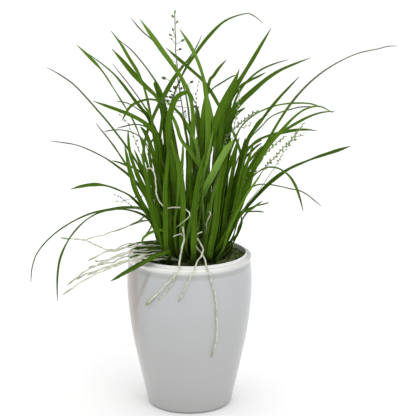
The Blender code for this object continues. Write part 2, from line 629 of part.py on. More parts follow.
def rest_paths():
    """Every blade, stem and root in the air, moved apart: three lists of paths."""
    strands = []
    for width, form, _, _, start, points in LEAVES:
        path = smooth_path((on_medium(start), *points), STEPS)
        shares = [blade_width(form, step / (STEPS - 1)) for step in range(STEPS)]
        reach = [0.43 * width * share + 0.55 for share in shares]
        strands.append((path, reach, np.ones(STEPS)))
    for radius, start, points, _ in SPIKES:
        path = smooth_path((on_medium(start), *points), STEPS)
        reach = np.linspace(radius + 0.4, radius + 2.2, STEPS)
        strands.append((path, reach, np.ones(STEPS)))
    for radius, points in AIR_ROOTS:
        strands.append((smooth_path(points, STEPS), [radius + 0.4] * STEPS, np.ones(STEPS)))
    for radius, inside, crossing, wall in RIM_ROOTS:
        path = smooth_path(rim_root_path(inside, crossing, wall, radius), STEPS)
        strands.append((path, [radius + 0.4] * STEPS, np.zeros(STEPS)))
    for path, _, free in strands:
        free[:3] *= (0.6, 0.8, 0.9)
    posts = [(x, y, SHOOT_RADIUS, medium_height(x, y) + SHOOT_HEIGHT) for x, y in SHOOTS]
    posts.append((*BARK_PLACE, BARK_SIZE[0], POT_HEIGHT + BARK_SIZE[2]))
    moved = push_apart(strands, posts)
    for path in moved[: len(LEAVES) + len(SPIKES)]:
        lift = medium_height(path[0][0], path[0][1]) + ROOT_LIFT - path[0][2]
        path[:6, 2] += lift * np.linspace(1, 0, 6)
    first, second = len(LEAVES), len(LEAVES) + len(SPIKES)
    return moved[:first], moved[first:second], moved[second:]


def main():
    clear_scene()
    make_pot()
    make_medium()
    make_bark(material("bark"))
    shoot_finish = material("shoot")
    for number, (x, y) in enumerate(SHOOTS, 1):
        make_shoot(number, x, y, shoot_finish)
    leaf_paths, spike_paths, root_paths = rest_paths()
    leaf_finish = material("leaf")
    for number, (row, path) in enumerate(zip(LEAVES, leaf_paths), 1):
        width, form, turn_base, turn_tip, _, _ = row
        spine = resample(path, BLADE_RINGS + 1, RING_CROWDING)
        points = blade_points(spine, width, form, turn_base, turn_tip)
        new_object(f"leaf_{number:02d}", points, ring_faces(BLADE_RINGS, 4), leaf_finish)
    spike_finish = material("spike")
    for number, (row, path) in enumerate(zip(SPIKES, spike_paths), 1):
        radius, _, _, buds = row
        spine = resample(path, STEM_RINGS + 1)
        radii = np.linspace(radius, 0.5 * radius, STEM_RINGS)
        stem = new_object(f"flower_spike_{number}", tube_points(spine, radii, STEM_SIDES),
                          ring_faces(STEM_RINGS, STEM_SIDES), spike_finish)
        fine = resample(path, 101)
        fuse(stem, [bud_on(fine, *bud, spike_finish) for bud in buds])
    root_finish = material("root")
    sizes = [row[0] for row in AIR_ROOTS] + [row[0] for row in RIM_ROOTS]
    for number, (radius, path) in enumerate(zip(sizes, root_paths), 1):
        bundled = 1 < number <= len(AIR_ROOTS)
        rings = BUNDLE_ROOT_RINGS if bundled else CURLED_ROOT_RINGS
        spine = path[np.linspace(0, STEPS - 1, rings + 1).round().astype(int)]
        radii = np.linspace(radius, 0.75 * radius, rings)
        new_object(f"root_{number}", tube_points(spine, radii, STEM_SIDES),
                   ring_faces(rings, STEM_SIDES), root_finish)


main()
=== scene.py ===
# %% [markdown]
# # A potted gomesa orchid, dressed cell by cell
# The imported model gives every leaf, root and stem its place as a plain solid. This
# lesson puts a finished piece on each of them: a glazed pot, moss, folded leaf blades,
# budding flower spikes and pale aerial roots. Lengths in the tables are millimetres.

# %% Load the frame
import math

import bmesh
import bpy
import numpy as np
from mathutils import Matrix, Vector, noise
from mathutils.bvhtree import BVHTree


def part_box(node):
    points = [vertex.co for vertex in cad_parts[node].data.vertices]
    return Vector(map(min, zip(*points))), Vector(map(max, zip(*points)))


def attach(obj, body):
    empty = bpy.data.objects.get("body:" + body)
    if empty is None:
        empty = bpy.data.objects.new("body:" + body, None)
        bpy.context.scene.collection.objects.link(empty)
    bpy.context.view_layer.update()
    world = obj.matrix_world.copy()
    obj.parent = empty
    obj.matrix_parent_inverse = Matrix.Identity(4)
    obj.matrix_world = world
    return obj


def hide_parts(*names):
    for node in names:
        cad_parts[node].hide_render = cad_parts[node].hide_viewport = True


MM = 0.001
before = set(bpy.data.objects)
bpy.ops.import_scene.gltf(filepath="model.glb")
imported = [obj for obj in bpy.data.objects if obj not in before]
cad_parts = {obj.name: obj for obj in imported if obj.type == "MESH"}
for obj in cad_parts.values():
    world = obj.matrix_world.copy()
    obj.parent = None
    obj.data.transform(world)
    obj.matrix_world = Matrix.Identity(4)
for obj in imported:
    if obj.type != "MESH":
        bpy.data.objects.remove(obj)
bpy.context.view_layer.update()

# %% [markdown]
# ## Camera
# The photograph was taken from a little above the rim with a long lens, so the pot's
# mouth is a flat ellipse and its sides hardly converge. A long lens that looks down by
# 13.4 degrees gives the same ellipse. The sensor is Blender's usual 36 mm.

# %% Camera
bpy.ops.object.camera_add(location=(0.0194, -1.4475, 0.5556), rotation=(math.radians(76.6), 0, 0))
camera = bpy.context.object
camera.name = "camera"
camera.data.lens = 123.8
camera.data.sensor_width = 36
bpy.context.scene.camera = camera

LENS_PIXELS = 123.8 / 36 * 416
CAMERA_PLACE = np.array(camera.location)
PITCH = math.radians(13.4)


def at_depth(pixel_x, pixel_y, y):
    """The place that a pixel of the photograph shows, at a given depth in metres."""
    right = (pixel_x - 208) / LENS_PIXELS
    down = (pixel_y - 208) / LENS_PIXELS
    ray = np.array((right, math.cos(PITCH) - down * math.sin(PITCH), -math.sin(PITCH) - down * math.cos(PITCH)))
    return CAMERA_PLACE + ray * ((y - CAMERA_PLACE[1]) / ray[1])


# %% [markdown]
# ## Light and floor
# A pale studio needs three things: a white floor that runs far behind the object, a
# ceiling of soft light above all of it, and a dimmer white sky that fills the sides. A
# small lamp in front adds a little shape. The standard view transform keeps white white,
# as it is in the photograph.

# %% Light and floor
scene = bpy.context.scene
scene.view_settings.view_transform = "Standard"


def put_lamp(name, place, aim, size, power, colour):
    bpy.ops.object.light_add(type="AREA", location=place)
    lamp = bpy.context.object
    lamp.name = name
    lamp.data.size = size
    lamp.data.energy = power
    lamp.data.color = colour
    lamp.rotation_euler = (Vector(aim) - Vector(place)).to_track_quat("-Z", "Y").to_euler()
    return lamp


put_lamp("ceiling_lamp", (0, 0, 6.0), (0, 0, 0), 26.0, 1700, (1.0, 1.0, 1.0))
put_lamp("front_lamp", (0.7, -1.5, 1.9), (0, 0, 0.2), 0.9, 6, (1.0, 1.0, 0.97))

world = bpy.data.worlds.new("studio")
scene.world = world
world.use_nodes = True
world.node_tree.nodes["Background"].inputs["Color"].default_value = (1, 1, 1, 1)
world.node_tree.nodes["Background"].inputs["Strength"].default_value = 0.46

bpy.ops.mesh.primitive_plane_add(size=40, location=(0, 0, 0))
floor = bpy.context.object
floor.name = "floor"
floor_finish = bpy.data.materials.new("floor")
floor_finish.use_nodes = True
floor_finish.node_tree.nodes["Principled BSDF"].inputs["Base Color"].default_value = (0.94, 0.94, 0.94, 1)
floor_finish.node_tree.nodes["Principled BSDF"].inputs["Roughness"].default_value = 0.9
floor.data.materials.append(floor_finish)

# %% [markdown]
# ## Small helpers
# An operator works on whatever is selected, so each new piece starts from an empty
# selection. Every piece is handed over in the same way: it gets a name, a finish and the
# body it moves with, and the plain solids it stands for are hidden.

# %% Selection and hand-over helpers
rng = np.random.default_rng(11)
pieces = []


def object_mode():
    if bpy.context.object and bpy.context.object.mode != "OBJECT":
        bpy.ops.object.mode_set(mode="OBJECT")
    bpy.ops.object.select_all(action="DESELECT")


def pick(piece):
    object_mode()
    piece.select_set(True)
    bpy.context.view_layer.objects.active = piece


def apply_place(piece):
    pick(piece)
    bpy.ops.object.transform_apply(location=True, rotation=True, scale=True)


def add_modifier(piece, kind, **settings):
    pick(piece)
    bpy.ops.object.modifier_add(type=kind)
    modifier = piece.modifiers[-1]
    for key, value in settings.items():
        setattr(modifier, key, value)
    bpy.ops.object.modifier_apply(modifier=modifier.name)


def hand_over(piece, name, finish, slot, *nodes):
    piece.name = name
    piece.data.name = name
    piece.data.materials.clear()
    piece.data.materials.append(finish)
    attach(piece, "root")
    if nodes:
        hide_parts(*nodes)
    pieces.append(piece)


def points_of(piece):
    flat = np.empty(len(piece.data.vertices) * 3)
    piece.data.vertices.foreach_get("co", flat)
    return flat.reshape(-1, 3)


def set_points(piece, points):
    piece.data.vertices.foreach_set("co", np.ascontiguousarray(points, float).reshape(-1))
    piece.data.update()


# %% [markdown]
# ## Finishes from nodes
# Each finish is a Principled shader fed by a few nodes. These helpers only save typing:
# one adds a node, one joins two sockets, and one makes a colour ramp.

# %% Node helpers
def new_finish(name, roughness, **constants):
    finish = bpy.data.materials.new(name)
    finish.use_nodes = True
    shader = finish.node_tree.nodes["Principled BSDF"]
    shader.inputs["Roughness"].default_value = roughness
    for key, value in constants.items():
        shader.inputs[key.replace("_", " ")].default_value = value
    return finish, finish.node_tree, shader


def add_node(tree, kind, **values):
    node = tree.nodes.new(kind)
    for key, value in values.items():
        if hasattr(node, key):
            setattr(node, key, value)
        else:
            node.inputs[key.replace("_", " ")].default_value = value
    return node


def ramp(tree, source, *stops):
    node = tree.nodes.new("ShaderNodeValToRGB")
    while len(node.color_ramp.elements) < len(stops):
        node.color_ramp.elements.new(0.5)
    for element, (place, colour) in zip(node.color_ramp.elements, stops):
        element.position = place
        element.color = (*colour, 1) if len(colour) == 3 else colour
    tree.links.new(source, node.inputs["Fac"])
    return node.outputs["Color"]


def blend(tree, share, first, second, how="MIX"):
    node = tree.nodes.new("ShaderNodeMix")
    node.data_type = "RGBA"
    node.blend_type = how
    for socket, value in ((node.inputs[0], share), (node.inputs[6], first), (node.inputs[7], second)):
        if isinstance(value, (int, float)):
            socket.default_value = value
        elif isinstance(value, tuple):
            socket.default_value = (*value, 1)
        else:
            tree.links.new(value, socket)
    return node.outputs[2]


def reckon(tree, how, first, second=0.0, clamp=False):
    node = tree.nodes.new("ShaderNodeMath")
    node.operation = how
    node.use_clamp = clamp
    for socket, value in zip(node.inputs, (first, second)):
        if isinstance(value, (int, float)):
            socket.default_value = value
        else:
            tree.links.new(value, socket)
    return node.outputs[0]


def speckle(tree, scale, detail=3.0, rough=0.5, stretch=(1, 1, 1)):
    coordinates = tree.nodes.new("ShaderNodeTexCoord")
    mapping = tree.nodes.new("ShaderNodeMapping")
    mapping.inputs["Scale"].default_value = stretch
    tree.links.new(coordinates.outputs["Object"], mapping.inputs["Vector"])
    node = add_node(tree, "ShaderNodeTexNoise", Scale=scale, Detail=detail, Roughness=rough)
    tree.links.new(mapping.outputs["Vector"], node.inputs["Vector"])
    return node.outputs["Fac"]


def measured(tree, name):
    node = tree.nodes.new("ShaderNodeAttribute")
    node.attribute_type = "GEOMETRY"
    node.attribute_name = name
    return node.outputs["Fac"]


def bumpy(tree, shader, height, strength, distance):
    node = add_node(tree, "ShaderNodeBump", Strength=strength, Distance=distance)
    tree.links.new(height, node.inputs["Height"])
    tree.links.new(node.outputs["Normal"], shader.inputs["Normal"])


def colour_of(tree, shader, source):
    tree.links.new(source, shader.inputs["Base Color"])


# %% [markdown]
# ## Pot
# The pot is thrown ware: one wall of clay, the same all round, under a pale glaze. A
# potter's way suits it. A circle is drawn at the middle of the floor, and it is pulled
# outwards, up and over the rim, ring by ring, with extrude and resize. The radii come
# from the plain pot in the frame, so the finished one fills the same place.

# %% Pot outline from the frame
def outline_of(node):
    """Radius and height of each ring of a turned solid, in order along its wall."""
    copy = bmesh.new()
    copy.from_mesh(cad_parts[node].data)
    bmesh.ops.remove_doubles(copy, verts=copy.verts, dist=0.000002)
    seam = {v for v in copy.verts if abs(v.co.y) < 1e-5 and v.co.x > 1e-5}

    def seam_neighbours(vertex):
        return [v for e in vertex.link_edges for v in e.verts if v in seam and v is not vertex]

    ends = [v for v in seam if len(seam_neighbours(v)) == 1]
    line = [max(ends, key=lambda v: v.co.z)]
    while True:
        onward = [v for v in seam_neighbours(line[-1]) if v not in line]
        if not onward:
            break
        line.append(onward[0])
    rows = [(v.co.x, v.co.z) for v in line]
    copy.free()
    return rows


pot_outline = outline_of("pot")
print("pot outline", len(pot_outline), "rings, widest", round(max(r for r, _ in pot_outline), 4))

# %% [markdown]
# A rim that is drawn with few rings looks cut. The outline is therefore smoothed first:
# a curve through its points gives more rings where the wall bends. The floor and the
# base keep their flat discs.

# %% Pull the pot up, ring by ring
def smooth_rows(rows, steps):
    """Points on a smooth curve through the rows, a number of steps between each two."""
    knots = np.array(rows, float)
    ends = np.vstack([2 * knots[0] - knots[1], knots, 2 * knots[-1] - knots[-2]])
    fine = []
    for i in range(1, len(ends) - 2):
        before, start, stop, after = ends[i - 1 : i + 3]
        for t in np.linspace(0, 1, steps, endpoint=False):
            fine.append(0.5 * (2 * start + (stop - before) * t
                               + (2 * before - 5 * start + 4 * stop - after) * t**2
                               + (3 * start - before - 3 * stop + after) * t**3))
    fine.append(knots[-1])
    return np.array(fine)


def pull_up(name, rings, sides):
    """A turned body: a small circle is extruded and resized from ring to ring, then closed."""
    object_mode()
    radius, height = rings[0]
    bpy.ops.mesh.primitive_circle_add(vertices=sides, radius=radius, location=(0, 0, height))
    body = bpy.context.object
    body.name = name
    bpy.ops.object.mode_set(mode="EDIT")
    bpy.ops.mesh.select_all(action="SELECT")
    for (radius, height), (wide, high) in zip(rings[:-1], rings[1:]):
        bpy.ops.mesh.extrude_region_move(TRANSFORM_OT_translate={"value": (0, 0, high - height)})
        share = wide / radius
        bpy.ops.transform.resize(value=(share, share, 1), center_override=(0, 0, high))
    bpy.ops.mesh.edge_face_add()
    bpy.ops.mesh.poke()
    bpy.ops.mesh.select_all(action="DESELECT")
    bpy.ops.mesh.select_non_manifold()
    bpy.ops.mesh.edge_face_add()
    bpy.ops.mesh.poke()
    bpy.ops.mesh.select_all(action="SELECT")
    bpy.ops.mesh.normals_make_consistent(inside=False)
    bpy.ops.object.mode_set(mode="OBJECT")
    apply_place(body)
    bpy.ops.object.shade_smooth()
    return body


POT_SIDES = 160
wall = smooth_rows(pot_outline, 5)
pot = pull_up("glazed_pot", [tuple(row) for row in wall], POT_SIDES)
print("pot faces", len(pot.data.polygons))

# %% [markdown]
# ## Glaze
# The glaze is a pale grey. Its colour also carries painted light: the lighter, bluer top is a
# painted reflection of the sky over a warmer grey foot, a painted highlight whitens the rolled
# rim, a painted shadow marks the groove under it, brown painted shade and a brown painted
# reflection streak lie at the left, painted shade darkens the right, and the inner wall is
# painted light against its shade. All of it depends on the place on the pot, so Object
# coordinates and noise give it.

# %% Glaze
glaze, tree, shader = new_finish("glaze", 0.24, Coat_Weight=0.25, Coat_Roughness=0.08)
place = tree.nodes.new("ShaderNodeSeparateXYZ")
tree.links.new(tree.nodes.new("ShaderNodeTexCoord").outputs["Object"], place.inputs[0])
height = reckon(tree, "DIVIDE", place.outputs["Z"], 0.162)
cloud = speckle(tree, 9.0, 2.0, 0.5)
height = reckon(tree, "ADD", height, reckon(tree, "MULTIPLY", reckon(tree, "SUBTRACT", cloud, 0.5), 0.25))
# painted reflection of the sky: the glaze grows lighter and bluer towards the top, warmer grey at the foot
body_colour = ramp(tree, height, (0.0, (0.43, 0.43, 0.425)), (0.45, (0.455, 0.46, 0.46)),
                   (0.85, (0.49, 0.505, 0.52)), (1.0, (0.51, 0.525, 0.54)))
# painted shade: a brown darkening along the left side of the pot, broken into soft clouds by noise
left = reckon(tree, "MULTIPLY", place.outputs["X"], -15.4)
left = reckon(tree, "ADD", left, reckon(tree, "MULTIPLY", speckle(tree, 14.0, 2.0, 0.5, (1, 1, 0.3)), 0.35))
painted_left_shade = ramp(tree, left, (0.78, (0, 0, 0)), (0.95, (0.4, 0.4, 0.4)), (1.08, (1, 1, 1)))
body_colour = blend(tree, reckon(tree, "MULTIPLY", painted_left_shade, 0.85), body_colour, (0.33, 0.285, 0.25))
rim_height = reckon(tree, "MULTIPLY", place.outputs["Z"], 1 / 0.162)
# painted highlight: the top of the rolled rim is whitened
rim_highlight = ramp(tree, rim_height, (0.962, (0, 0, 0)), (0.978, (1, 1, 1)))
body_colour = blend(tree, rim_highlight, body_colour, (0.80, 0.80, 0.76))
# painted shadow in the groove under the rim
groove_shadow = ramp(tree, rim_height, (0.925, (0, 0, 0)), (0.940, (1, 1, 1)), (0.956, (1, 1, 1)), (0.966, (0, 0, 0)))
body_colour = blend(tree, reckon(tree, "MULTIPLY", groove_shadow, 0.55), body_colour, (0.36, 0.37, 0.33))
# painted shade: the right side of the pot is darkened
right = ramp(tree, reckon(tree, "MULTIPLY", place.outputs["X"], 15.4), (0.45, (0, 0, 0)), (0.95, (1, 1, 1)))
body_colour = blend(tree, reckon(tree, "MULTIPLY", right, 0.45), body_colour, (0.36, 0.37, 0.37))
# painted reflection: a brown streak on the left of the wall, below the rim, fading towards the foot
reflection_streak_line = reckon(tree, "ADD", reckon(tree, "MULTIPLY", place.outputs["Z"], -0.38), 0.0993)
off_reflection_streak = reckon(tree, "ABSOLUTE", reckon(tree, "ADD", place.outputs["X"], reflection_streak_line))
off_reflection_streak = reckon(tree, "ADD", off_reflection_streak, reckon(tree, "MULTIPLY", speckle(tree, 60.0, 2.0), 0.002))
reflection_streak = ramp(tree, reckon(tree, "MULTIPLY", off_reflection_streak, 100.0), (0.12, (1, 1, 1)), (0.42, (0, 0, 0)))
reflection_streak_span = ramp(tree, rim_height, (0.55, (0, 0, 0)), (0.72, (1, 1, 1)), (0.950, (1, 1, 1)), (0.965, (0, 0, 0)))
reflection_streak = reckon(tree, "MULTIPLY", reflection_streak, reflection_streak_span)
body_colour = blend(tree, reckon(tree, "MULTIPLY", reflection_streak, 0.62), body_colour, (0.31, 0.275, 0.25))
# painted light: the inner wall above the moss is made almost white, against the shade it lies in
reach = reckon(tree, "POWER", reckon(tree, "ADD", reckon(tree, "POWER", place.outputs["X"], 2.0),
                                     reckon(tree, "POWER", place.outputs["Y"], 2.0)), 0.5)
inside = reckon(tree, "MULTIPLY", reckon(tree, "LESS_THAN", reach, 0.0605), reckon(tree, "GREATER_THAN", rim_height, 0.9))
body_colour = blend(tree, inside, body_colour, (0.86, 0.86, 0.86))
colour_of(tree, shader, body_colour)
fine_speckle = speckle(tree, 900.0, 1.0)
bumpy(tree, shader, reckon(tree, "ADD", speckle(tree, 22.0, 1.0), reckon(tree, "MULTIPLY", fine_speckle, 0.02)),
      0.10, 0.004)
hand_over(pot, "glazed_pot", glaze, "glaze", "pot")

# %% [markdown]
# ## Growing medium
# Moss covers the bark in the pot as a low mound. Its top is pulled inwards from the
# wall as the pot was, and each point is then set down on the plain solid's surface and
# lifted by noise, which gives clumps without a pattern. The skirt goes down the wall, so
# the piece is one closed body.

# %% Moss ground
medium_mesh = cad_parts["growing_medium"].data
medium_tree = BVHTree.FromPolygons([v.co[:] for v in medium_mesh.vertices],
                                   [p.vertices[:] for p in medium_mesh.polygons])


def ground(x, y):
    """The height of the growing medium under a place, in metres."""
    hit = medium_tree.ray_cast(Vector((x, y, 0.3)), Vector((0, 0, -1)))[0]
    return hit.z if hit else 0.154


MOUNDS = ((-53, -4, 16, 5.4), (-44, 28, 18, 5.4), (48, 16, 17, 5.6), (54, -10, 12, 4.0), (30, 44, 16, 4.6))


def moss_top(x, y):
    """The height of the moss: the plain solid's surface with a few soft mounds along the wall."""
    lift = sum(tall * math.exp(-(((x / MM - mx) ** 2 + (y / MM - my) ** 2) / wide**2)) for mx, my, wide, tall in MOUNDS)
    return ground(x, y) + lift * MM


low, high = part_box("growing_medium")
medium_radius = (high[0] - low[0]) / 2 - 0.0004
EDGE = 0.1538
shares = np.linspace(1.0, 0.03, 46)
rows = [(0.030, low[2] + 0.0006), (0.040, low[2] + 0.0006), (0.0425, 0.02), (0.0500, 0.06), (0.0550, 0.105)]
rows += [(medium_radius - 0.0002, 0.148)] + [(medium_radius * share, EDGE) for share in shares]
moss = pull_up("moss_ground", rows, 128)
points = points_of(moss)
for index in np.nonzero(points[:, 2] > EDGE - 0.0005)[0]:
    x, y, _ = points[index]
    reach = math.hypot(x, y) / medium_radius
    lump = noise.fractal(Vector((x * 90, y * 90, 3.0)), 0.6, 2.1, 4)
    fine = noise.noise(Vector((x * 900, y * 900, 1.0)))
    points[index, 2] = moss_top(x * 0.995, y * 0.995) + (0.0016 * lump + 0.0008 * fine) * (1 - reach**8)
set_points(moss, points)
print("moss ground", len(moss.data.polygons), "faces")

# %% [markdown]
# The moss is nearly black green with a few brighter tips. Its colour follows two sizes
# of noise, and the bump is strong because moss has no smooth place.

# %% Moss finish
moss_finish, tree, shader = new_finish("moss", 0.95)
clumps = speckle(tree, 130.0, 5.0, 0.65)
grains = speckle(tree, 900.0, 3.0, 0.6)
colour = ramp(tree, clumps, (0.30, (0.042, 0.060, 0.014)), (0.50, (0.075, 0.108, 0.024)),
              (0.62, (0.135, 0.195, 0.042)), (0.78, (0.24, 0.30, 0.085)))
colour = blend(tree, reckon(tree, "MULTIPLY", grains, 0.4), colour, (0.050, 0.045, 0.018))
colour_of(tree, shader, colour)
bumpy(tree, shader, grains, 0.9, 0.0012)
hand_over(moss, "moss_ground", moss_finish, "moss", "growing_medium")

# %% [markdown]
# ## A straight rod and a flat blade
# Leaves, stems and roots are long shapes that bend along a path. Each kind is modelled
# once, straight, along +Y from 0 to 1, and a copy is then bent. The rod is a circle that
# is extruded ring by ring. The blade is a grid whose middle column stays down while its
# edges are lifted, so it has the fold of a real leaf.

# %% The straight masters
def straight_rod(name, sides, rings):
    object_mode()
    bpy.ops.mesh.primitive_circle_add(vertices=sides, radius=1, rotation=(-math.pi / 2, 0, 0))
    rod = bpy.context.object
    rod.name = name
    bpy.ops.object.transform_apply(location=True, rotation=True, scale=True)
    bpy.ops.object.mode_set(mode="EDIT")
    bpy.ops.mesh.select_all(action="SELECT")
    bpy.ops.mesh.edge_face_add()
    for _ in range(rings):
        bpy.ops.mesh.extrude_region_move(TRANSFORM_OT_translate={"value": (0, 1 / rings, 0)})
    bpy.ops.mesh.select_all(action="SELECT")
    bpy.ops.mesh.normals_make_consistent(inside=False)
    bpy.ops.object.mode_set(mode="OBJECT")
    return rod


BLADE_COLUMNS = 8
BLADE_ROWS = 60
FOLD = 0.155


def flat_blade(name):
    object_mode()
    bpy.ops.mesh.primitive_grid_add(x_subdivisions=BLADE_COLUMNS, y_subdivisions=BLADE_ROWS, size=1,
                                    location=(0, 0.5, 0))
    blade = bpy.context.object
    blade.name = name
    apply_place(blade)
    for column in range(1, BLADE_COLUMNS // 2 + 1):
        aside = column / BLADE_COLUMNS
        object_mode()
        bpy.context.view_layer.objects.active = blade
        blade.select_set(True)
        bpy.ops.object.mode_set(mode="EDIT")
        bpy.ops.mesh.select_all(action="DESELECT")
        bpy.ops.object.mode_set(mode="OBJECT")
        for vertex in blade.data.vertices:
            vertex.select = abs(abs(vertex.co.x) - aside) < 0.01
        bpy.ops.object.mode_set(mode="EDIT")
        bpy.ops.transform.translate(value=(0, 0, FOLD * (2 * aside) ** 1.25))
        bpy.ops.object.mode_set(mode="OBJECT")
    return blade


blade_master = flat_blade("blade_master")
stem_master = straight_rod("stem_master", 8, 40)
root_master = straight_rod("root_master", 8, 56)
for master in (blade_master, stem_master, root_master):
    print(master.name, len(master.data.vertices), "points")

# %% [markdown]
# ## Bending a copy along a path
# Blender's Curve modifier bends a mesh along a curve, but it turns the section in its
# own way, and a leaf must keep the turn of its plain solid. So this cell does the same
# sum by hand: a point at the share y of the straight piece goes to the path at y, and is
# moved aside and outwards by the blade's own width and direction there. Two attributes
# keep the place along and across for the finishes.

# %% Bend
def resample(rows, count):
    """Rows read at a number of equal steps, on a smooth curve through them."""
    fine = smooth_rows(rows, 12)
    at = np.linspace(0, len(fine) - 1, count)
    before = np.floor(at).astype(int).clip(0, len(fine) - 2)
    share = (at - before)[:, None]
    return fine[before] * (1 - share) + fine[before + 1] * share


def unit_rows(rows):
    return rows / (np.linalg.norm(rows, axis=1)[:, None] + 1e-12)


def store(piece, name, values):
    layer = piece.data.attributes.new(name, "FLOAT", "POINT")
    layer.data.foreach_set("value", np.ascontiguousarray(values, np.float32))


def bend(master, path, facing, across, along_shape, tone, shown=None):
    """A copy of a straight piece, bent along a path; sizes are in metres."""
    piece = master.copy()
    piece.data = master.data.copy()
    bpy.context.scene.collection.objects.link(piece)
    points = points_of(piece)
    share = points[:, 1].clip(0, 1)
    count = len(path)
    at = share * (count - 1)
    before = np.floor(at).astype(int).clip(0, count - 2)
    part = (at - before)[:, None]

    def read(rows):
        rows = np.asarray(rows, float).reshape(count, -1)
        return rows[before] * (1 - part) + rows[before + 1] * part

    way = unit_rows(np.gradient(path, axis=0))
    face = unit_rows(facing - way * np.sum(facing * way, axis=1)[:, None])
    side = np.cross(way, face)
    size_x, size_z = read(across), read(along_shape)
    placed = read(path) + read(side) * size_x * points[:, :1] + read(face) * size_z * points[:, 2:]
    store(piece, "along", share)
    store(piece, "aside", points[:, 0])
    store(piece, "tone", np.full(len(points), tone))
    store(piece, "wide", size_x[:, 0] if shown is None else read(shown)[:, 0])
    set_points(piece, placed)
    return piece


# %% [markdown]
# ## Reading the plain leaves
# A plain leaf is a tip and twelve rings of four points: two edges, and the midrib's
# upper and lower side. Walking away from the tip, neighbour by neighbour, finds the
# rings again. The widest pair of a ring are its edges, and they lie on the leaf's upper
# side of the midrib, which gives the direction it faces.

# %% Rings of a plain solid
def rings_of(node, sides):
    """The rings of points of a long plain solid, from its tip to its root."""
    copy = bmesh.new()
    copy.from_mesh(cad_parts[node].data)
    bmesh.ops.remove_doubles(copy, verts=copy.verts, dist=0.000002)
    found = None
    for tip in copy.verts:
        if len(tip.link_edges) != sides:
            continue
        seen, ring, rings = {tip}, [tip], [[tip]]
        while ring:
            ring = list(dict.fromkeys(e.other_vert(v) for v in ring for e in v.link_edges))
            ring = [v for v in ring if v not in seen]
            seen.update(ring)
            if ring:
                rings.append(ring)
        if all(len(ring) == sides for ring in rings[1:]):
            found = [np.array([v.co[:] for v in ring]) for ring in rings]
            break
    copy.free()
    return found


def read_blade(node):
    """Spine, facing and width of a plain leaf, from its root to its tip."""
    spine, facing, width = [], [], []
    for ring in rings_of(node, 4)[1:]:
        pairs = [(a, b) for a in range(4) for b in range(a + 1, 4)]
        left, right = max(pairs, key=lambda pair: np.linalg.norm(ring[pair[0]] - ring[pair[1]]))
        middle = np.mean([ring[i] for i in range(4) if i not in (left, right)], axis=0)
        spine.append(middle)
        facing.append((ring[left] + ring[right]) / 2 - middle)
        width.append(np.linalg.norm(ring[left] - ring[right]))
    tip = rings_of(node, 4)[0][0]
    spine = np.array([tip] + spine)[::-1]
    facing = unit_rows(np.array([facing[0]] + facing)[::-1])
    return spine, facing, np.array([0.0] + width)[::-1]


leaf_nodes = sorted(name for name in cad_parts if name.startswith("leaf_"))
print(len(leaf_nodes), "plain leaves, the first has", len(rings_of("leaf_01", 4)) - 1, "rings")

# %% [markdown]
# ## Leaf finish
# A blade is mid green with fine lengthwise veins, a paler midrib and edges, and a tip that
# dries to grey brown; where it stands low in the clump its foot is darkened with painted
# shade. The place along and across come from the two attributes, and a third, the tone,
# makes one leaf yellower and another deeper; it is partly the leaf's own green and partly
# painted light and shade. Thin leaves let light through, but this finish has no subsurface scattering.

# %% Leaf finish
leaf_finish, tree, shader = new_finish("leaf", 0.48, Specular_IOR_Level=0.08)
tone = measured(tree, "tone")
patch = speckle(tree, 28.0, 3.0, 0.5)
aside = measured(tree, "aside")
along = measured(tree, "along")
lengthwise = tree.nodes.new("ShaderNodeCombineXYZ")
for socket, source, times in ((0, aside, 7.0), (1, along, 5.0), (2, tone, 41.0)):
    tree.links.new(reckon(tree, "MULTIPLY", source, times), lengthwise.inputs[socket])
streaks = add_node(tree, "ShaderNodeTexNoise", Scale=1.0, Detail=3.0, Roughness=0.6)
tree.links.new(lengthwise.outputs[0], streaks.inputs["Vector"])
for source, strength in ((patch, 0.30), (streaks.outputs["Fac"], 0.9)):
    tone = reckon(tree, "ADD", tone, reckon(tree, "MULTIPLY", reckon(tree, "SUBTRACT", source, 0.5), strength))
colour = ramp(tree, tone, (0.0, (0.027, 0.063, 0.0010)), (0.35, (0.052, 0.126, 0.0020)),
              (0.65, (0.092, 0.195, 0.007)), (1.0, (0.20, 0.36, 0.060)))
veins = reckon(tree, "SINE", reckon(tree, "MULTIPLY", aside, 95.0))
vein_share = reckon(tree, "MULTIPLY", reckon(tree, "ADD", veins, 1.0), 0.07)
colour = blend(tree, vein_share, colour, (0.14, 0.25, 0.02))
midrib = ramp(tree, reckon(tree, "ABSOLUTE", aside), (0.02, (1, 1, 1)), (0.07, (0, 0, 0)),
              (0.46, (0, 0, 0)), (0.50, (0.5, 0.5, 0.5)))
colour = blend(tree, reckon(tree, "MULTIPLY", midrib, 0.25), colour, (0.19, 0.32, 0.04))
leaf_place = tree.nodes.new("ShaderNodeSeparateXYZ")
tree.links.new(tree.nodes.new("ShaderNodeTexCoord").outputs["Object"], leaf_place.inputs[0])
# painted shade: leaf feet low in the clump are darkened to a near black olive
low_in_clump_shade = ramp(tree, reckon(tree, "MULTIPLY", leaf_place.outputs["Z"], 4.0),
                (0.64, (1, 1, 1)), (0.71, (0.55, 0.55, 0.55)), (0.84, (0, 0, 0)))
near_foot = ramp(tree, along, (0.10, (1, 1, 1)), (0.30, (0, 0, 0)))
foot = reckon(tree, "MULTIPLY", low_in_clump_shade, near_foot)
colour = blend(tree, reckon(tree, "MULTIPLY", foot, 0.80), colour, (0.020, 0.026, 0.005))
colour = blend(tree, reckon(tree, "MULTIPLY", measured(tree, "dry"), 0.9), colour, (0.115, 0.098, 0.064))
colour_of(tree, shader, colour)
bumpy(tree, shader, reckon(tree, "ADD", veins, reckon(tree, "MULTIPLY", patch, 2.0)), 0.25, 0.00035)

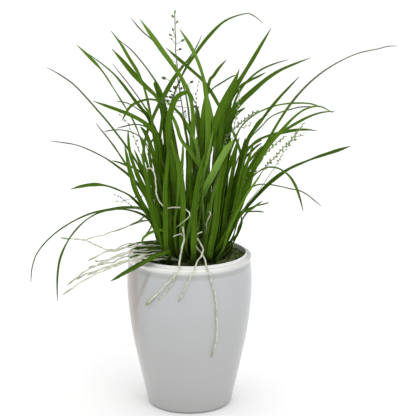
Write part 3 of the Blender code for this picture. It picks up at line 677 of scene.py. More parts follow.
# %% [markdown]
# ## Which way a blade faces
# A long leaf twists, so from the front it looks broad in one place and thin as a thread
# in another. The photograph shows how broad each blade looks. Its real width is known
# too, and the share of the two gives the angle it is turned by. Of the two ways to turn,
# the one that keeps the upper face up is taken.

# %% Facing from the width that shows
LEAF_THICKNESS = 0.42 * MM


def facing_for(spine, looks, width):
    """The directions a blade faces so that it looks as broad from the front as it should."""
    way = unit_rows(np.gradient(spine, axis=0))
    shown = unit_rows(np.cross(way, unit_rows(CAMERA_PLACE - spine)))
    towards = np.cross(shown, way)
    bare = looks - 0.8 * LEAF_THICKNESS * np.sqrt(1 - np.clip(looks / width, 0, 1) ** 2)
    share = np.clip(bare / width, 0.04, 1.0)[:, None]
    turned = shown * np.sqrt(1 - share**2)
    first, second = towards * share + turned, towards * share - turned
    outer = slice(len(spine) // 2, None)
    return first if first[outer, 2].mean() > second[outer, 2].mean() else second


def strap_width(share):
    """The width of a strap leaf at a place along it, as a share of its widest."""
    rise = np.minimum(1.0, share / 0.3)
    swell = 0.70 + 0.30 * rise * rise * (3 - 2 * rise)
    return swell * (1 - np.maximum(0.0, (share - 0.55) / 0.45) ** 2.2)


# %% [markdown]
# ## Leaf blades
# Every blade follows its plain leaf. Its foot goes a few millimetres down into the moss,
# as a real one comes out of it, and its edges ripple a little so that no two look alike.
# Solidify closes the sheet at the thickness of a leaf. The table says how broad each
# blade looks from the front, in millimetres at equal steps from its foot to its tip.

# %% How broad the blades look
LOOKS = {
    "leaf_01": (2.6, 2.6, 2.6, 2.6, 2.5, 2.4, 2.3, 2.3, 2.2, 2, 1.9, 1.8, 1.6, 1.5, 1.3, 1.2, 1),
    "leaf_02": (2.2, 2.2, 2.2, 2.2, 2, 1.8, 1.6, 1.5, 1.5, 1.4, 1.4, 1.4, 1.4, 1.4, 2.2, 3.2, 0.8),
    "leaf_03": (3.5, 3.5, 3.5, 3.5, 3.5, 3.5, 3.5, 3.5, 3.5, 3.4, 3.2, 3.1, 3.3, 2.6, 1.6, 1.2, 0.8),
    "leaf_04": (2.6, 2.6, 2.6, 2.6, 2.6, 2.6, 2.6, 2.6, 2.6, 2.6, 2.4, 2.2, 2.2, 3.2, 3.3, 2.3, 0.8),
    "leaf_05": (2.6, 2.6, 2.6, 2.6, 2.6, 2.6, 2.6, 2.7, 2.7, 2.7, 2.7, 2.6, 1.8, 1.4, 1.2, 1.1, 1),
    "leaf_06": (8.6, 8.5, 8.1, 7.3, 6.3, 5.4, 5.2, 5.1, 5, 5.1, 5.2, 3.8, 3.8, 4.7, 5.4, 3.7, 0.8),
    "leaf_07": (1.8, 1.8, 1.8, 1.8, 1.8, 1.7, 1.7, 1.7, 1.7, 1.6, 1.5, 1.4, 1.3, 1.2, 1.1, 1, 1),
    "leaf_08": (4.7, 4.7, 4.7, 4.7, 4.7, 4.7, 4.6, 4.4, 4.3, 4, 3.8, 3.4, 3.6, 4.2, 4.9, 4, 0.8),
    "leaf_09": (5.2, 5.2, 5.2, 5.2, 5.2, 5.2, 5.1, 5.1, 5.1, 5.1, 5.1, 5, 3.8, 2.5, 3.3, 3.4, 0.8),
    "leaf_10": (3.1, 3.1, 3, 3, 3, 3, 3.1, 3, 2.9, 2.8, 2.8, 3.2, 4, 2.7, 3.2, 3.4, 0.8),
    "leaf_11": (2.1, 2.1, 2.1, 2.1, 2.1, 2.1, 2.1, 2, 2, 1.9, 1.9, 2.5, 3.8, 3.1, 1.6, 1, 0.8),
    "leaf_12": (5.2, 5.3, 5.3, 5.3, 5.3, 5.3, 5.3, 5.3, 5.3, 5.3, 5.4, 5.4, 4.3, 3.7, 4, 2.7, 0.8),
    "leaf_13": (6.5, 6.5, 6.5, 6.5, 6.5, 6.5, 6.5, 6.5, 6.9, 7.3, 7.5, 7.7, 7.8, 8.3, 7.4, 4.2, 0.8),
    "leaf_14": (2.7, 2.7, 2.7, 2.7, 2.7, 2.7, 2.7, 2.7, 2.6, 2.5, 2.4, 2.3, 2.2, 2, 1.9, 1.5, 1),
    "leaf_15": (6.1, 6.1, 6.1, 6.1, 6.1, 6.1, 6.1, 6.3, 6.5, 6.6, 6.6, 5.5, 5, 3.9, 2.8, 2.1, 0.9),
    "leaf_16": (3.9, 3.9, 3.9, 3.9, 3.9, 3.9, 3.8, 3.6, 3.5, 3.4, 3.4, 3.2, 3, 2.8, 2.5, 2, 0.9),
    "leaf_17": (3.5, 3.5, 3.5, 3.5, 3.5, 3.4, 3, 2.7, 2.6, 2.6, 2.2, 1.7, 1.3, 1.1, 1, 0.9, 0.8),
    "leaf_18": (4.7, 4.7, 4.7, 4.7, 4.7, 4.6, 4.6, 4.6, 4.6, 4.6, 4, 3.5, 3, 2.4, 1.6, 1.4, 0.9),
    "leaf_19": (3.8, 3.8, 3.8, 3.8, 3.8, 3.8, 3.8, 3.8, 3.8, 3.8, 3.8, 3.4, 3.2, 2.8, 2.3, 1.6, 0.9),
    "leaf_20": (2.6, 2.6, 2.6, 2.7, 2.7, 2.7, 2.7, 2.6, 2.5, 2.4, 2.5, 2.7, 3.2, 3.5, 3.1, 2, 1),
    "leaf_21": (3.2, 3.2, 3.2, 3.2, 3.2, 3.2, 3.4, 3.7, 4, 4, 3.5, 2.2, 2.2, 2.6, 3.2, 3.3, 0.8),
    "leaf_22": (2.6, 2.6, 2.6, 2.6, 2.6, 2.6, 2.6, 2.4, 2, 1.6, 1.2, 1.4, 1.8, 2.6, 2.6, 1.8, 0.8),
    "leaf_23": (2.1, 2.1, 2.1, 2.1, 2.1, 2.1, 1.9, 1.5, 1.4, 1.3, 1.2, 1.2, 1.2, 1.2, 1.1, 1, 0.8),
    "leaf_24": (3.5, 3.5, 3.5, 3.5, 3.5, 3.5, 3.3, 3, 2.8, 2.2, 1.6, 1.4, 1.3, 1.1, 1.1, 1, 0.9),
    "leaf_25": (3.8, 3.8, 3.8, 3.8, 3.8, 3.8, 3.4, 3, 2.5, 1.9, 1.6, 1.6, 2.2, 3.3, 3.3, 2.7, 0.8),
    "leaf_26": (2.6, 2.6, 2.6, 2.7, 2.7, 2.7, 2.7, 2.6, 2.5, 2.3, 2.1, 2, 1.8, 1.7, 1.5, 1.2, 1),
    "leaf_27": (4.3, 4.3, 4.3, 4.3, 4.3, 4.3, 4.3, 4.3, 4.3, 4.3, 4.2, 4.2, 3.9, 3.6, 3.4, 2.7, 0.8),
    "leaf_28": (7.6, 7.6, 7.6, 7.6, 7.8, 8.1, 8, 7, 6.2, 5.4, 4.7, 4, 3.5, 3.2, 2.8, 2.4, 0.9),
    "leaf_29": (3.5, 3.5, 3.5, 3.2, 3, 3, 2.9, 2.6, 1.8, 1.6, 1.5, 1.4, 1.4, 1.3, 1.1, 1, 0.8),
    "leaf_30": (3.5, 3.4, 3.4, 3.1, 2.4, 1.7, 1.6, 1.6, 1.5, 1.5, 1.5, 1.6, 2, 2.4, 2.1, 1.4, 0.8),
    "leaf_31": (4, 4, 3.9, 4, 4.3, 4.5, 4.7, 4.9, 4.9, 4.9, 4.9, 4.5, 4.1, 3.6, 3, 2.1, 1),
    "leaf_32": (5.7, 5.7, 5.7, 5.7, 5.8, 6, 6.1, 6.3, 6.5, 6.6, 6.7, 6.8, 6.7, 6.6, 6.2, 5.4, 4.7),
    "leaf_33": (6, 6, 6, 6, 6, 6, 6, 6, 6.1, 6.2, 6.3, 6.3, 6.3, 5.6, 4.8, 3.4, 1.5),
}
# Each leaf's tone is partly its own green and partly painted light and shade: leaves that face the light are given a
# brighter tone.
TONES_AND_LIGHT = {"leaf_01": 0.45, "leaf_02": 0.64, "leaf_03": 0.33, "leaf_04": 0.62, "leaf_05": 0.50,
         "leaf_06": 0.46, "leaf_08": 0.72, "leaf_09": 0.72, "leaf_10": 0.42, "leaf_11": 0.39,
         "leaf_12": 0.36, "leaf_13": 0.46, "leaf_14": 0.40, "leaf_15": 0.28, "leaf_16": 0.24,
         "leaf_17": 0.50, "leaf_18": 0.56, "leaf_19": 0.40, "leaf_20": 0.24, "leaf_21": 0.14,
         "leaf_22": 0.34, "leaf_24": 0.24, "leaf_26": 0.52, "leaf_27": 0.44, "leaf_28": 0.54,
         "leaf_29": 0.20, "leaf_30": 0.20, "leaf_31": 0.20, "leaf_32": 1.0, "leaf_33": 0.42}
DRY_FROM = {"leaf_01": 0.62, "leaf_05": 0.72, "leaf_07": 0.55, "leaf_11": 0.84, "leaf_14": 0.80,
            "leaf_17": 0.42, "leaf_22": 0.85, "leaf_23": 0.70, "leaf_24": 0.50, "leaf_26": 0.70,
            "leaf_29": 0.72, "leaf_30": 0.86}
TIP_BOWS = {"leaf_11": 2.4, "leaf_17": 1.0, "leaf_29": 1.0}

# %% Leaf blades on the plain leaves
ROOTED = 5.0 * MM


def make_leaf(spine, facing, width, tone, looks=None, dry_from=1.0):
    """A closed leaf blade along a spine, rippled at its edges."""
    looks = width if looks is None else looks
    down = spine[0] - (spine[1] - spine[0]) / np.linalg.norm(spine[1] - spine[0]) * ROOTED
    spine = np.vstack([down, spine])
    facing = np.vstack([facing[0], facing])
    width = np.concatenate([[width[0] * 0.92], width])
    looks = np.concatenate([[looks[0]], looks])
    count = BLADE_ROWS + 1
    path = resample(spine, count)
    face = unit_rows(resample(facing, count))
    wide = resample(width[:, None], count)[:, 0].clip(0.0003, None)
    shown = resample(looks[:, None], count)[:, 0].clip(0.0003, None)
    leaf = bend(blade_master, path, face, wide, np.minimum(wide, 1.7 * shown), tone, shown)
    points = points_of(leaf)
    straight = points_of(blade_master)
    store(leaf, "dry", np.clip((straight[:, 1] - dry_from) / 0.22, 0, 1))
    phase = rng.uniform(0, 6.28)
    waves = rng.uniform(5, 9)
    at = (straight[:, 1] * (count - 1)).round().astype(int).clip(0, count - 1)
    ripple = 0.035 * np.sin(waves * straight[:, 1] * 6.28 + phase + np.sign(straight[:, 0]) * 1.3)
    ripple *= (2 * np.abs(straight[:, 0])) ** 2
    set_points(leaf, points + face[at] * (ripple * wide[at])[:, None])
    add_modifier(leaf, "SOLIDIFY", thickness=LEAF_THICKNESS, offset=0.0)
    pick(leaf)
    bpy.ops.object.shade_smooth_by_angle(angle=math.radians(60))
    return leaf


def lengths_along(spine):
    """The share of a spine's length at each of its points."""
    run = np.concatenate([[0], np.cumsum(np.linalg.norm(np.diff(spine, axis=0), axis=1))])
    return run / run[-1]


for node in leaf_nodes:
    spine, facing, width = read_blade(node)
    if node in TIP_BOWS:
        middle = (spine[-1] + spine[-2]) / 2 + np.array((0, 0, TIP_BOWS[node] * MM))
        spine = np.insert(spine, -1, middle, axis=0)
        facing = np.insert(facing, -1, facing[-1], axis=0)
        width = np.insert(width, -1, (width[-1] + width[-2]) / 2)
    looks = width
    if node in LOOKS:
        share = lengths_along(spine)
        looks = np.interp(share, np.linspace(0, 1, len(LOOKS[node])), np.array(LOOKS[node]) * MM)
        width = np.maximum(width, looks)
        width[-1] = min(width[-1], 0.4 * MM)
        facing = facing_for(spine, looks, width)
    leaf_tone = TONES_AND_LIGHT.get(node, 0.40 + rng.uniform(-0.10, 0.12))
    leaf = make_leaf(spine, facing, width, leaf_tone, looks, DRY_FROM.get(node, 1.0))
    hand_over(leaf, node.replace("leaf", "blade"), leaf_finish, "leaf", node)
print(len(leaf_nodes), "blades of", len(leaf.data.polygons), "faces")

# %% [markdown]
# ## More leaves of the clump
# The clump has more leaves than the plain model holds. Those that the photograph shows
# one by one are listed. Each row holds the blade's widest width, its tone (partly its own
# green, partly painted light and shade), where it leaves the moss, and its path to the tip
# with how broad it looks at each point.

# %% The listed leaves
MORE_LEAVES = (
    (3.6, 0.40, (-2, 10),
     ((-1, 8, 218, 2), (1, 11, 271, 2), (-2, 14, 317, 1.6), (-9, 16, 343, 1.4), (-17, 17, 355, 1.3),
      (-24, 18, 367, 1.3), (-32, 19, 377, 1.3), (-40, 20, 385, 1.2), (-50, 21, 394, 1.2),
      (-59, 22, 405, 1))),
    (5.0, 0.38, (-10, 2),
     ((-18, 4, 219, 4.1), (-23, 6, 266, 4.1), (-26, 8, 298, 4.1), (-30, 9, 323, 4.1), (-32, 9, 331, 4.1),
      (-34, 10, 337, 4.1), (-35, 10, 342, 4.1))),
    (5.0, 0.42, (8, 8),
     ((16, 6, 219, 3), (16, 9, 282, 3.1), (18, 11, 323, 3.1), (21, 12, 342, 3.1), (25, 13, 347, 3.1),
      (29, 13, 353, 3.1), (34, 14, 359, 2), (38, 14, 363, 0.8))),
    (4.0, 0.35, (2, 12),
     ((7, 10, 228, 2), (11, 15, 281, 1.8), (15, 18, 314, 1.6), (19, 20, 326, 1.5), (25, 21, 333, 1.5),
      (34, 22, 339, 1.5), (44, 23, 345, 1.3), (48, 24, 346, 1))),
    (5.0, 0.34, (-14, 4),
     ((-22, 0, 220, 3), (-22, 3, 272, 3), (-24, -9, 308, 2.4), (-31, -14, 324, 1.8), (-39, -16, 327, 2),
      (-48, -18, 326, 2.5), (-56, -20, 323, 2.6), (-62, -22, 317, 2.5), (-67, -24, 307, 1))),
    (3.6, 0.40, (-18, 14),
     ((-28, 16, 216, 2), (-31, 21, 264, 1.8), (-36, 23, 287, 1.5), (-44, 25, 302, 1.3),
      (-51, 27, 308, 1.2), (-60, 28, 314, 1.1), (-67, 29, 317, 1.1), (-76, 30, 318, 1))),
    (3.6, 0.20, (-16, 8),
     ((-25, 6, 219, 2), (-28, 2, 262, 2), (-34, -1, 286, 1.6), (-44, -2, 296, 1.3), (-52, -3, 299, 1.2),
      (-60, -4, 299, 1.2), (-74, -6, 296, 1))),
    (3.2, 0.42, (-20, 16),
     ((-31, 18, 210, 2), (-36, 23, 252, 1.6), (-45, 26, 273, 1.3), (-56, 29, 283, 1.2),
      (-69, 31, 287, 1.1), (-81, 33, 287, 1.1), (-90, 34, 285, 1))),
    (4.0, 0.35, (-22, 4),
     ((-31, 2, 185, 3), (-36, 0, 209, 2.5), (-44, -4, 237, 2.2), (-51, -6, 250, 2), (-58, -7, 255, 2),
      (-65, -8, 258, 2), (-72, -9, 261, 1.6), (-79, -10, 263, 1))),
    (5.4, 0.50, (-22, -2),
     ((-34, -8, 203, 3), (-40, -7, 225, 3), (-43, -7, 243, 2.8), (-46, -6, 258, 2.6),
      (-46, -6, 274, 2.6), (-43, -5, 289, 2.8), (-37, -4, 305, 3.2), (-31, -3, 318, 3.8),
      (-25, -2, 329, 4.4), (-17, -1, 344, 4.4), (-9, -1, 355, 3), (-3, 0, 362, 2.2), (4, 1, 372, 1.4),
      (9, 1, 381, 1), (13, 2, 390, 0.8))),
    (4.0, 0.62, (22, 8),
     ((30, 10, 202, 3.1), (38, 16, 248, 2.5), (47, 21, 277, 2.1), (53, 23, 290, 1.7), (60, 25, 298, 1.6),
      (68, 27, 304, 1.6), (76, 29, 308, 1.7), (84, 30, 311, 1.7), (91, 32, 313, 1.7),
      (105, 34, 315, 1.7), (121, 37, 315, 1.6), (131, 39, 313, 1.4), (137, 40, 310, 1))),
    (3.6, 0.45, (22, 22),
     ((34, 24, 198, 2.1), (49, 37, 249, 1.7), (64, 46, 275, 1.5), (77, 51, 288, 1.4), (85, 55, 296, 1.3),
      (96, 59, 301, 1.3), (108, 63, 304, 1.3), (118, 66, 306, 1.3), (131, 70, 306, 1.1))),
    (4.2, 0.35, (14, 16),
     ((25, 14, 211, 3.1), (30, 21, 263, 3.1), (38, 28, 301, 3.1), (45, 32, 322, 3.1), (53, 34, 332, 3.1),
      (56, 35, 335, 3.1), (63, 37, 339, 2.6), (72, 38, 343, 2.1), (80, 40, 347, 0.9))),
    (3.2, 0.20, (26, -16),
     ((44, -20, 182, 1.6), (50, -26, 203, 1.6), (57, -30, 214, 1.5), (64, -33, 219, 1.5),
      (70, -36, 222, 1.4), (76, -38, 224, 1.3), (81, -40, 226, 1))),
    (3.2, 0.20, (28, -18),
     ((46, -24, 180, 1.6), (52, -30, 200, 1.6), (59, -36, 214, 1.5), (64, -38, 216, 1.4),
      (70, -41, 217, 1.4), (76, -44, 217, 1))),
    (4.2, 0.62, (-20, -30),
     ((-24, -34, 175, 2.5), (-23, -37, 187, 2.5), (-26, -40, 196, 2.6), (-32, -42, 197, 2.6),
      (-37, -44, 196, 2.6), (-42, -46, 194, 2.5), (-46, -48, 191, 2.3), (-48, -50, 186, 1))),
    (3.2, 0.45, (-26, 2),
     ((-31, 4, 180, 2), (-37, 6, 192, 1.6), (-45, 8, 195, 1.3), (-63, 11, 189, 1.1), (-73, 14, 184, 1),
      (-83, 16, 181, 0.9))),
    (3.4, 0.40, (-24, -6),
     ((-30, -10, 185, 2.4), (-37, -12, 202, 2), (-45, -13, 205, 1.7), (-51, -15, 201, 1.4),
      (-59, -16, 197, 1))),
    (3.4, 0.36, (-24, -14),
     ((-27, -18, 175, 2.4), (-32, -21, 191, 2), (-37, -23, 198, 1.8), (-40, -24, 194, 1.6),
      (-45, -26, 188, 1))),
    (6.0, 0.16, (-14, -2),
     ((-18, -4, 205, 4), (-21, -5, 226, 4), (-24, -6, 248, 4), (-27, -8, 269, 4), (-30, -10, 283, 4),
      (-33, -10, 291, 4), (-37, -11, 298, 4), (-40, -11, 306, 4), (-45, -12, 314, 3),
      (-50, -12, 320, 1))),
    (4.6, 0.68, (-16, -8),
     ((-23, -10, 222, 2.6), (-27, -11, 254, 2.6), (-32, -13, 277, 2.6), (-36, -14, 294, 2.6),
      (-37, -14, 302, 2.6), (-38, -15, 309, 2.6), (-42, -15, 316, 2.4), (-48, -16, 324, 1))),
    (5.0, 0.42, (-20, -12),
     ((-26, -14, 207, 3), (-29, -16, 234, 3), (-29, -19, 261, 3), (-30, -21, 277, 3), (-32, -23, 289, 3),
      (-36, -24, 295, 3), (-40, -24, 299, 3), (-44, -25, 303, 2.6), (-49, -26, 308, 1))),
    (5.6, 0.36, (-18, -14),
     ((-27, -16, 203, 4), (-30, -18, 229, 4), (-34, -20, 254, 4), (-37, -21, 275, 4), (-42, -23, 290, 4),
      (-45, -23, 296, 3.4), (-49, -24, 301, 1))),
    (4.4, 0.45, (-22, -14),
     ((-29, -18, 198, 3), (-34, -19, 221, 3), (-39, -21, 243, 2.6), (-43, -22, 262, 2.2),
      (-45, -23, 272, 2.2), (-46, -23, 283, 2), (-49, -24, 291, 1))),
    (5.0, 0.10, (-20, -24),
     ((-26, -34, 188, 3), (-30, -37, 213, 3), (-34, -41, 235, 2.9), (-36, -44, 253, 2.9),
      (-38, -46, 265, 2.9), (-39, -48, 277, 2.9), (-38, -50, 288, 2.3), (-33, -52, 296, 1))),
    (5.0, 0.70, (12, -14),
     ((19, -22, 188, 3.6), (21, -23, 213, 3.6), (19, -23, 236, 3.6), (14, -24, 255, 3.6),
      (8, -24, 264, 3.6), (5, -24, 269, 3.6), (-1, -25, 278, 3.6), (-8, -25, 288, 3.6),
      (-11, -25, 298, 3.4), (-15, -26, 309, 3), (-20, -26, 318, 1))),
    (4.4, 0.40, (-2, -8),
     ((3, -14, 202, 3), (2, -15, 229, 3), (1, -17, 257, 2.8), (-1, -18, 279, 2.6), (-3, -18, 292, 2.6),
      (-5, -19, 305, 2.4), (-8, -20, 311, 2), (-12, -20, 316, 1))),
    (4.4, 0.85, (4, -12),
     ((15, -18, 198, 3), (13, -19, 224, 3), (11, -21, 251, 2.8), (8, -22, 277, 2.6), (4, -23, 291, 2.5),
      (1, -23, 298, 2.2), (-2, -24, 306, 1))),
    (6.0, 0.46, (-24, -22),
     ((-26, -26, 184, 5), (-30, -26, 194, 5.2), (-33, -27, 200, 5.2), (-37, -28, 214, 5),
      (-39, -28, 227, 5), (-41, -29, 237, 4.6), (-42, -30, 246, 4.2), (-46, -30, 256, 3.6),
      (-51, -31, 269, 2.6), (-55, -32, 279, 1))),
    (5.4, 0.62, (-24, -14),
     ((-32, -24, 194, 4.6), (-40, -26, 209, 4.6), (-48, -29, 222, 4.8), (-55, -31, 238, 4.9),
      (-57, -33, 249, 5.1), (-60, -36, 261, 4.3), (-62, -38, 273, 3), (-64, -40, 284, 1))),
    (6.0, 0.44, (-4, -30),
     ((-8, -38, 174, 4.5), (-8, -41, 191, 4.9), (-7, -44, 204, 5.1), (-6, -49, 223, 5.1),
      (-7, -54, 241, 4.7), (-8, -59, 256, 4.3), (-10, -63, 270, 3.7), (-14, -67, 284, 2.9),
      (-17, -71, 295, 1))),
    (6.8, 0.40, (2, -42),
     ((5, -47, 173, 4.9), (5, -47, 182, 5.5), (6, -46, 194, 5.9), (6, -45, 210, 5.9), (7, -44, 225, 5.9),
      (8, -43, 235, 5.3), (10, -42, 250, 4.3), (13, -41, 265, 2.9), (16, -40, 276, 1))),
    (7.4, 0.50, (20, -26),
     ((21, -34, 165, 5.3), (22, -34, 173, 5.9), (23, -34, 181, 6.3), (26, -34, 194, 6.5),
      (28, -35, 209, 6.5), (29, -35, 223, 6.3), (31, -35, 239, 5.9), (33, -35, 249, 5.3),
      (37, -36, 266, 3.9), (40, -36, 282, 2.5), (43, -36, 292, 1))),
    (6.4, 0.34, (22, -18),
     ((28, -26, 184, 4.6), (30, -27, 203, 5.4), (32, -27, 221, 5.6), (34, -28, 235, 5.6),
      (37, -28, 247, 5), (42, -29, 263, 4), (47, -29, 279, 3), (51, -30, 291, 1))),
    (4.6, 0.44, (24, -20),
     ((28, -28, 172, 3.4), (32, -28, 179, 3.6), (38, -29, 190, 3.8), (43, -29, 201, 3.8),
      (48, -30, 214, 3.8), (52, -31, 229, 3.6), (55, -31, 243, 3.4), (58, -32, 259, 3),
      (62, -33, 275, 2.4), (66, -34, 288, 1))),
    (3.6, 0.24, (26, -28),
     ((28, -34, 164, 2), (32, -35, 170, 2.2), (40, -38, 187, 2.2), (48, -42, 204, 2.2),
      (54, -45, 216, 2), (62, -47, 220, 2), (68, -48, 225, 1.8), (74, -50, 230, 1))),
    (3.6, 0.20, (34, -16),
     ((44, -24, 173, 2.2), (44, -26, 183, 2.2), (48, -27, 187, 2.2), (52, -30, 195, 2.2),
      (54, -32, 204, 1.8), (53, -34, 211, 1))),
    (4.2, 0.52, (26, -14),
     ((39, -20, 180, 3.4), (46, -22, 200, 3.6), (53, -24, 217, 3.6), (58, -26, 231, 3.4),
      (62, -27, 242, 3.2), (64, -28, 250, 2.6), (67, -30, 260, 1))),
    (4.4, 0.30, (22, 0),
     ((36, -4, 191, 3), (46, -1, 227, 3.2), (54, 1, 256, 3.4), (58, 2, 270, 3.4), (60, 3, 280, 3.4),
      (64, 4, 288, 3.2), (70, 5, 299, 2.6), (75, 6, 305, 1))),
    (3.8, 0.34, (22, -2),
     ((35, -6, 189, 2.4), (45, -4, 224, 2.6), (52, -1, 255, 2.6), (59, 0, 272, 2.6), (64, 1, 276, 2.6),
      (69, 1, 280, 2.4), (75, 2, 282, 1))),
    (3.6, 0.30, (24, 2),
     ((38, -2, 191, 2.2), (48, 1, 224, 2.4), (55, 4, 250, 2.4), (58, 5, 263, 2.4), (63, 6, 268, 2.4),
      (69, 7, 274, 2), (75, 8, 278, 1))),
    (3.8, 0.66, (24, -2),
     ((39, -6, 190, 2.4), (49, -4, 219, 2.6), (56, -2, 243, 2.6), (59, 0, 257, 2.6), (63, 0, 262, 2.6),
      (69, 1, 269, 2.4), (75, 2, 276, 1))),
    (4.0, 0.44, (26, -4),
     ((40, -8, 189, 2.6), (49, -6, 214, 2.8), (56, -4, 235, 3), (60, -2, 250, 3), (66, -1, 257, 3),
      (70, -1, 261, 2.4), (75, 0, 268, 1))),
    (4.2, 0.56, (26, -8),
     ((41, -14, 188, 3), (49, -13, 209, 3), (55, -11, 229, 3.2), (59, -10, 244, 3.2), (65, -9, 252, 3.2),
      (70, -9, 258, 2.6), (76, -8, 265, 1))),
    (4.4, 0.16, (20, 2),
     ((31, 0, 190, 3.4), (41, 2, 223, 3.6), (49, 3, 245, 3.6), (53, 4, 261, 3.7), (56, 5, 274, 2.8),
      (58, 6, 284, 1))),
    (8.0, 0.12, (6, -2),
     ((9, -4, 194, 7.1), (11, -3, 226, 7.6), (14, -2, 250, 8.1), (17, -2, 268, 8.1), (20, -1, 286, 6.1),
      (24, 0, 299, 3), (26, 0, 308, 1))),
    (6.0, 0.42, (-18, -34),
     ((-22, -44, 178, 4.5), (-23, -45, 189, 4.7), (-23, -46, 205, 4.9), (-23, -48, 223, 4.9),
      (-23, -50, 242, 4.7), (-22, -51, 257, 3.9), (-21, -53, 273, 2.9), (-20, -54, 283, 1))),
    (4.0, 0.64, (2, -10),
     ((7, -6, 205, 3), (7, -7, 232, 3), (6, -9, 259, 3), (5, -10, 275, 3), (3, -10, 285, 3),
      (0, -11, 294, 3), (-3, -12, 301, 3), (-6, -12, 308, 3), (-11, -13, 314, 2.6), (-17, -13, 320, 2.4),
      (-25, -14, 327, 1))),
    (6.0, 0.46, (0, -2),
     ((14, -2, 204, 5.1), (14, -1, 231, 5.1), (13, 0, 257, 5.5), (12, 0, 278, 5.5), (10, 1, 294, 5.5),
      (9, 1, 306, 4.9), (8, 2, 314, 3.6), (7, 2, 319, 1))),
    (3.6, 0.62, (-2, -8),
     ((5, -10, 201, 2.4), (5, -11, 228, 2.6), (5, -12, 254, 2.6), (4, -12, 275, 2.6), (5, -13, 291, 2.4),
      (6, -14, 304, 2), (6, -14, 313, 1))),
    (3.4, 0.42, (-2, -6),
     ((2, -8, 201, 2), (1, -9, 233, 2.2), (1, -9, 259, 2.4), (2, -9, 280, 2.4), (2, -10, 296, 2),
      (1, -10, 306, 1))),
    (6.4, 0.48, (4, -8),
     ((15, -10, 196, 4.6), (14, -10, 228, 5), (12, -11, 254, 5.2), (13, -11, 280, 5),
      (14, -12, 306, 4.6), (16, -12, 322, 3.8), (17, -12, 333, 1))),
    (5.6, 0.78, (10, -6),
     ((24, -8, 195, 4.2), (26, -9, 227, 4.6), (27, -10, 259, 4.6), (26, -10, 285, 4.6),
      (24, -11, 301, 4.6), (22, -11, 313, 4), (20, -12, 324, 3), (17, -12, 335, 1))),
    (6.8, 0.32, (12, -8),
     ((26, -12, 196, 5.4), (28, -13, 228, 5.6), (29, -14, 260, 5.6), (31, -15, 281, 5.2),
      (33, -15, 299, 4), (35, -16, 312, 1))),
    (5.0, 0.10, (8, -12),
     ((19, -16, 197, 3.6), (20, -17, 229, 3.8), (20, -18, 256, 3.8), (21, -19, 277, 3.6),
      (22, -19, 292, 2.8), (23, -20, 306, 1))),
    (5.4, 0.40, (-10, -12),
     ((-12, -16, 197, 4.6), (-11, -17, 224, 4.6), (-12, -18, 250, 4.6), (-13, -18, 271, 4.4),
      (-15, -19, 287, 3.8), (-17, -20, 299, 3), (-18, -20, 310, 1))),
    (4.4, 0.22, (-12, -14),
     ((-16, -18, 198, 3), (-16, -19, 224, 3), (-16, -20, 251, 3), (-17, -21, 272, 2.8),
      (-17, -21, 285, 2.2), (-17, -22, 300, 1))),
    (4.4, 0.68, (-6, -16),
     ((-7, -22, 199, 3.2), (-8, -23, 225, 3.4), (-8, -24, 246, 3.6), (-7, -25, 262, 3.2),
      (-6, -26, 275, 2.4), (-6, -26, 283, 1))),
    (5.2, 0.44, (-2, -12),
     ((-1, -18, 198, 4.2), (-1, -19, 224, 4.4), (-1, -19, 245, 4.4), (-1, -19, 261, 3.8),
      (-2, -20, 273, 2.6), (-2, -20, 281, 1))),
    (5.6, 0.16, (20, 0),
     ((34, 0, 193, 4), (38, 2, 230, 4.3), (40, 4, 262, 4.3), (41, 6, 288, 4.3), (43, 7, 301, 4.3),
      (48, 7, 308, 3.9), (53, 8, 312, 2.4), (58, 8, 315, 1))),
    (4.4, 0.40, (18, 2),
     ((32, 2, 193, 3), (35, 3, 230, 3), (37, 5, 261, 3), (38, 6, 282, 3), (39, 7, 298, 2.8),
      (41, 7, 311, 2.2), (44, 8, 320, 1))),
    (4.6, 0.30, (-14, -10),
     ((-24, -14, 194, 3.2), (-27, -14, 223, 3.2), (-29, -15, 250, 3.2), (-30, -15, 271, 3.2),
      (-29, -15, 291, 3), (-27, -16, 309, 2.6), (-25, -16, 323, 1))),
    (4.2, 0.56, (-16, -12),
     ((-27, -18, 195, 2.8), (-30, -18, 224, 2.8), (-32, -19, 251, 2.8), (-33, -19, 271, 2.8),
      (-34, -20, 285, 2.4), (-34, -20, 297, 1))),
    (5.0, 0.40, (18, -12),
     ((34, -20, 188, 4), (38, -21, 214, 4.2), (42, -22, 238, 4.2), (45, -23, 257, 4),
      (47, -23, 272, 3.2), (50, -24, 286, 1))),
    (4.0, 0.60, (24, -12),
     ((40, -22, 185, 2.8), (45, -23, 208, 3), (49, -24, 230, 3), (52, -25, 247, 2.8),
      (55, -25, 262, 2.2), (58, -26, 276, 1))),
    (4.0, 0.10, (-26, -20),
     ((-22, -26, 173, 3), (-32, -26, 177, 3.6), (-42, -25, 177, 3.8), (-51, -25, 175, 3.2),
      (-59, -24, 172, 2.4), (-65, -24, 168, 1))),
    (4.0, 0.06, (-26, -24),
     ((-20, -28, 167, 3), (-30, -28, 170, 3.8), (-40, -29, 170, 4), (-49, -29, 169, 3.4),
      (-57, -30, 167, 2.4), (-61, -30, 165, 1))),
    (4.0, 0.10, (-26, -20),
     ((-22, -30, 169, 3), (-30, -31, 175, 3.2), (-38, -32, 175, 3.2), (-45, -32, 174, 3),
      (-52, -33, 170, 2), (-58, -34, 168, 1))),
    (3.8, 0.76, (-26, -20),
     ((-22, -24, 171, 2.6), (-32, -27, 176, 3.4), (-38, -28, 175, 3), (-43, -30, 174, 1))),
    (3.4, 0.12, (-26, -14),
     ((-25, -22, 176, 2.6), (-35, -23, 180, 2.6), (-45, -24, 180, 2.4), (-55, -25, 179, 1.8),
      (-63, -26, 176, 1))),
    (5.4, 0.22, (-22, -36),
     ((-20, -50, 176, 3.7), (-26, -52, 175, 4.1), (-32, -54, 174, 4.5), (-39, -57, 171, 4.3),
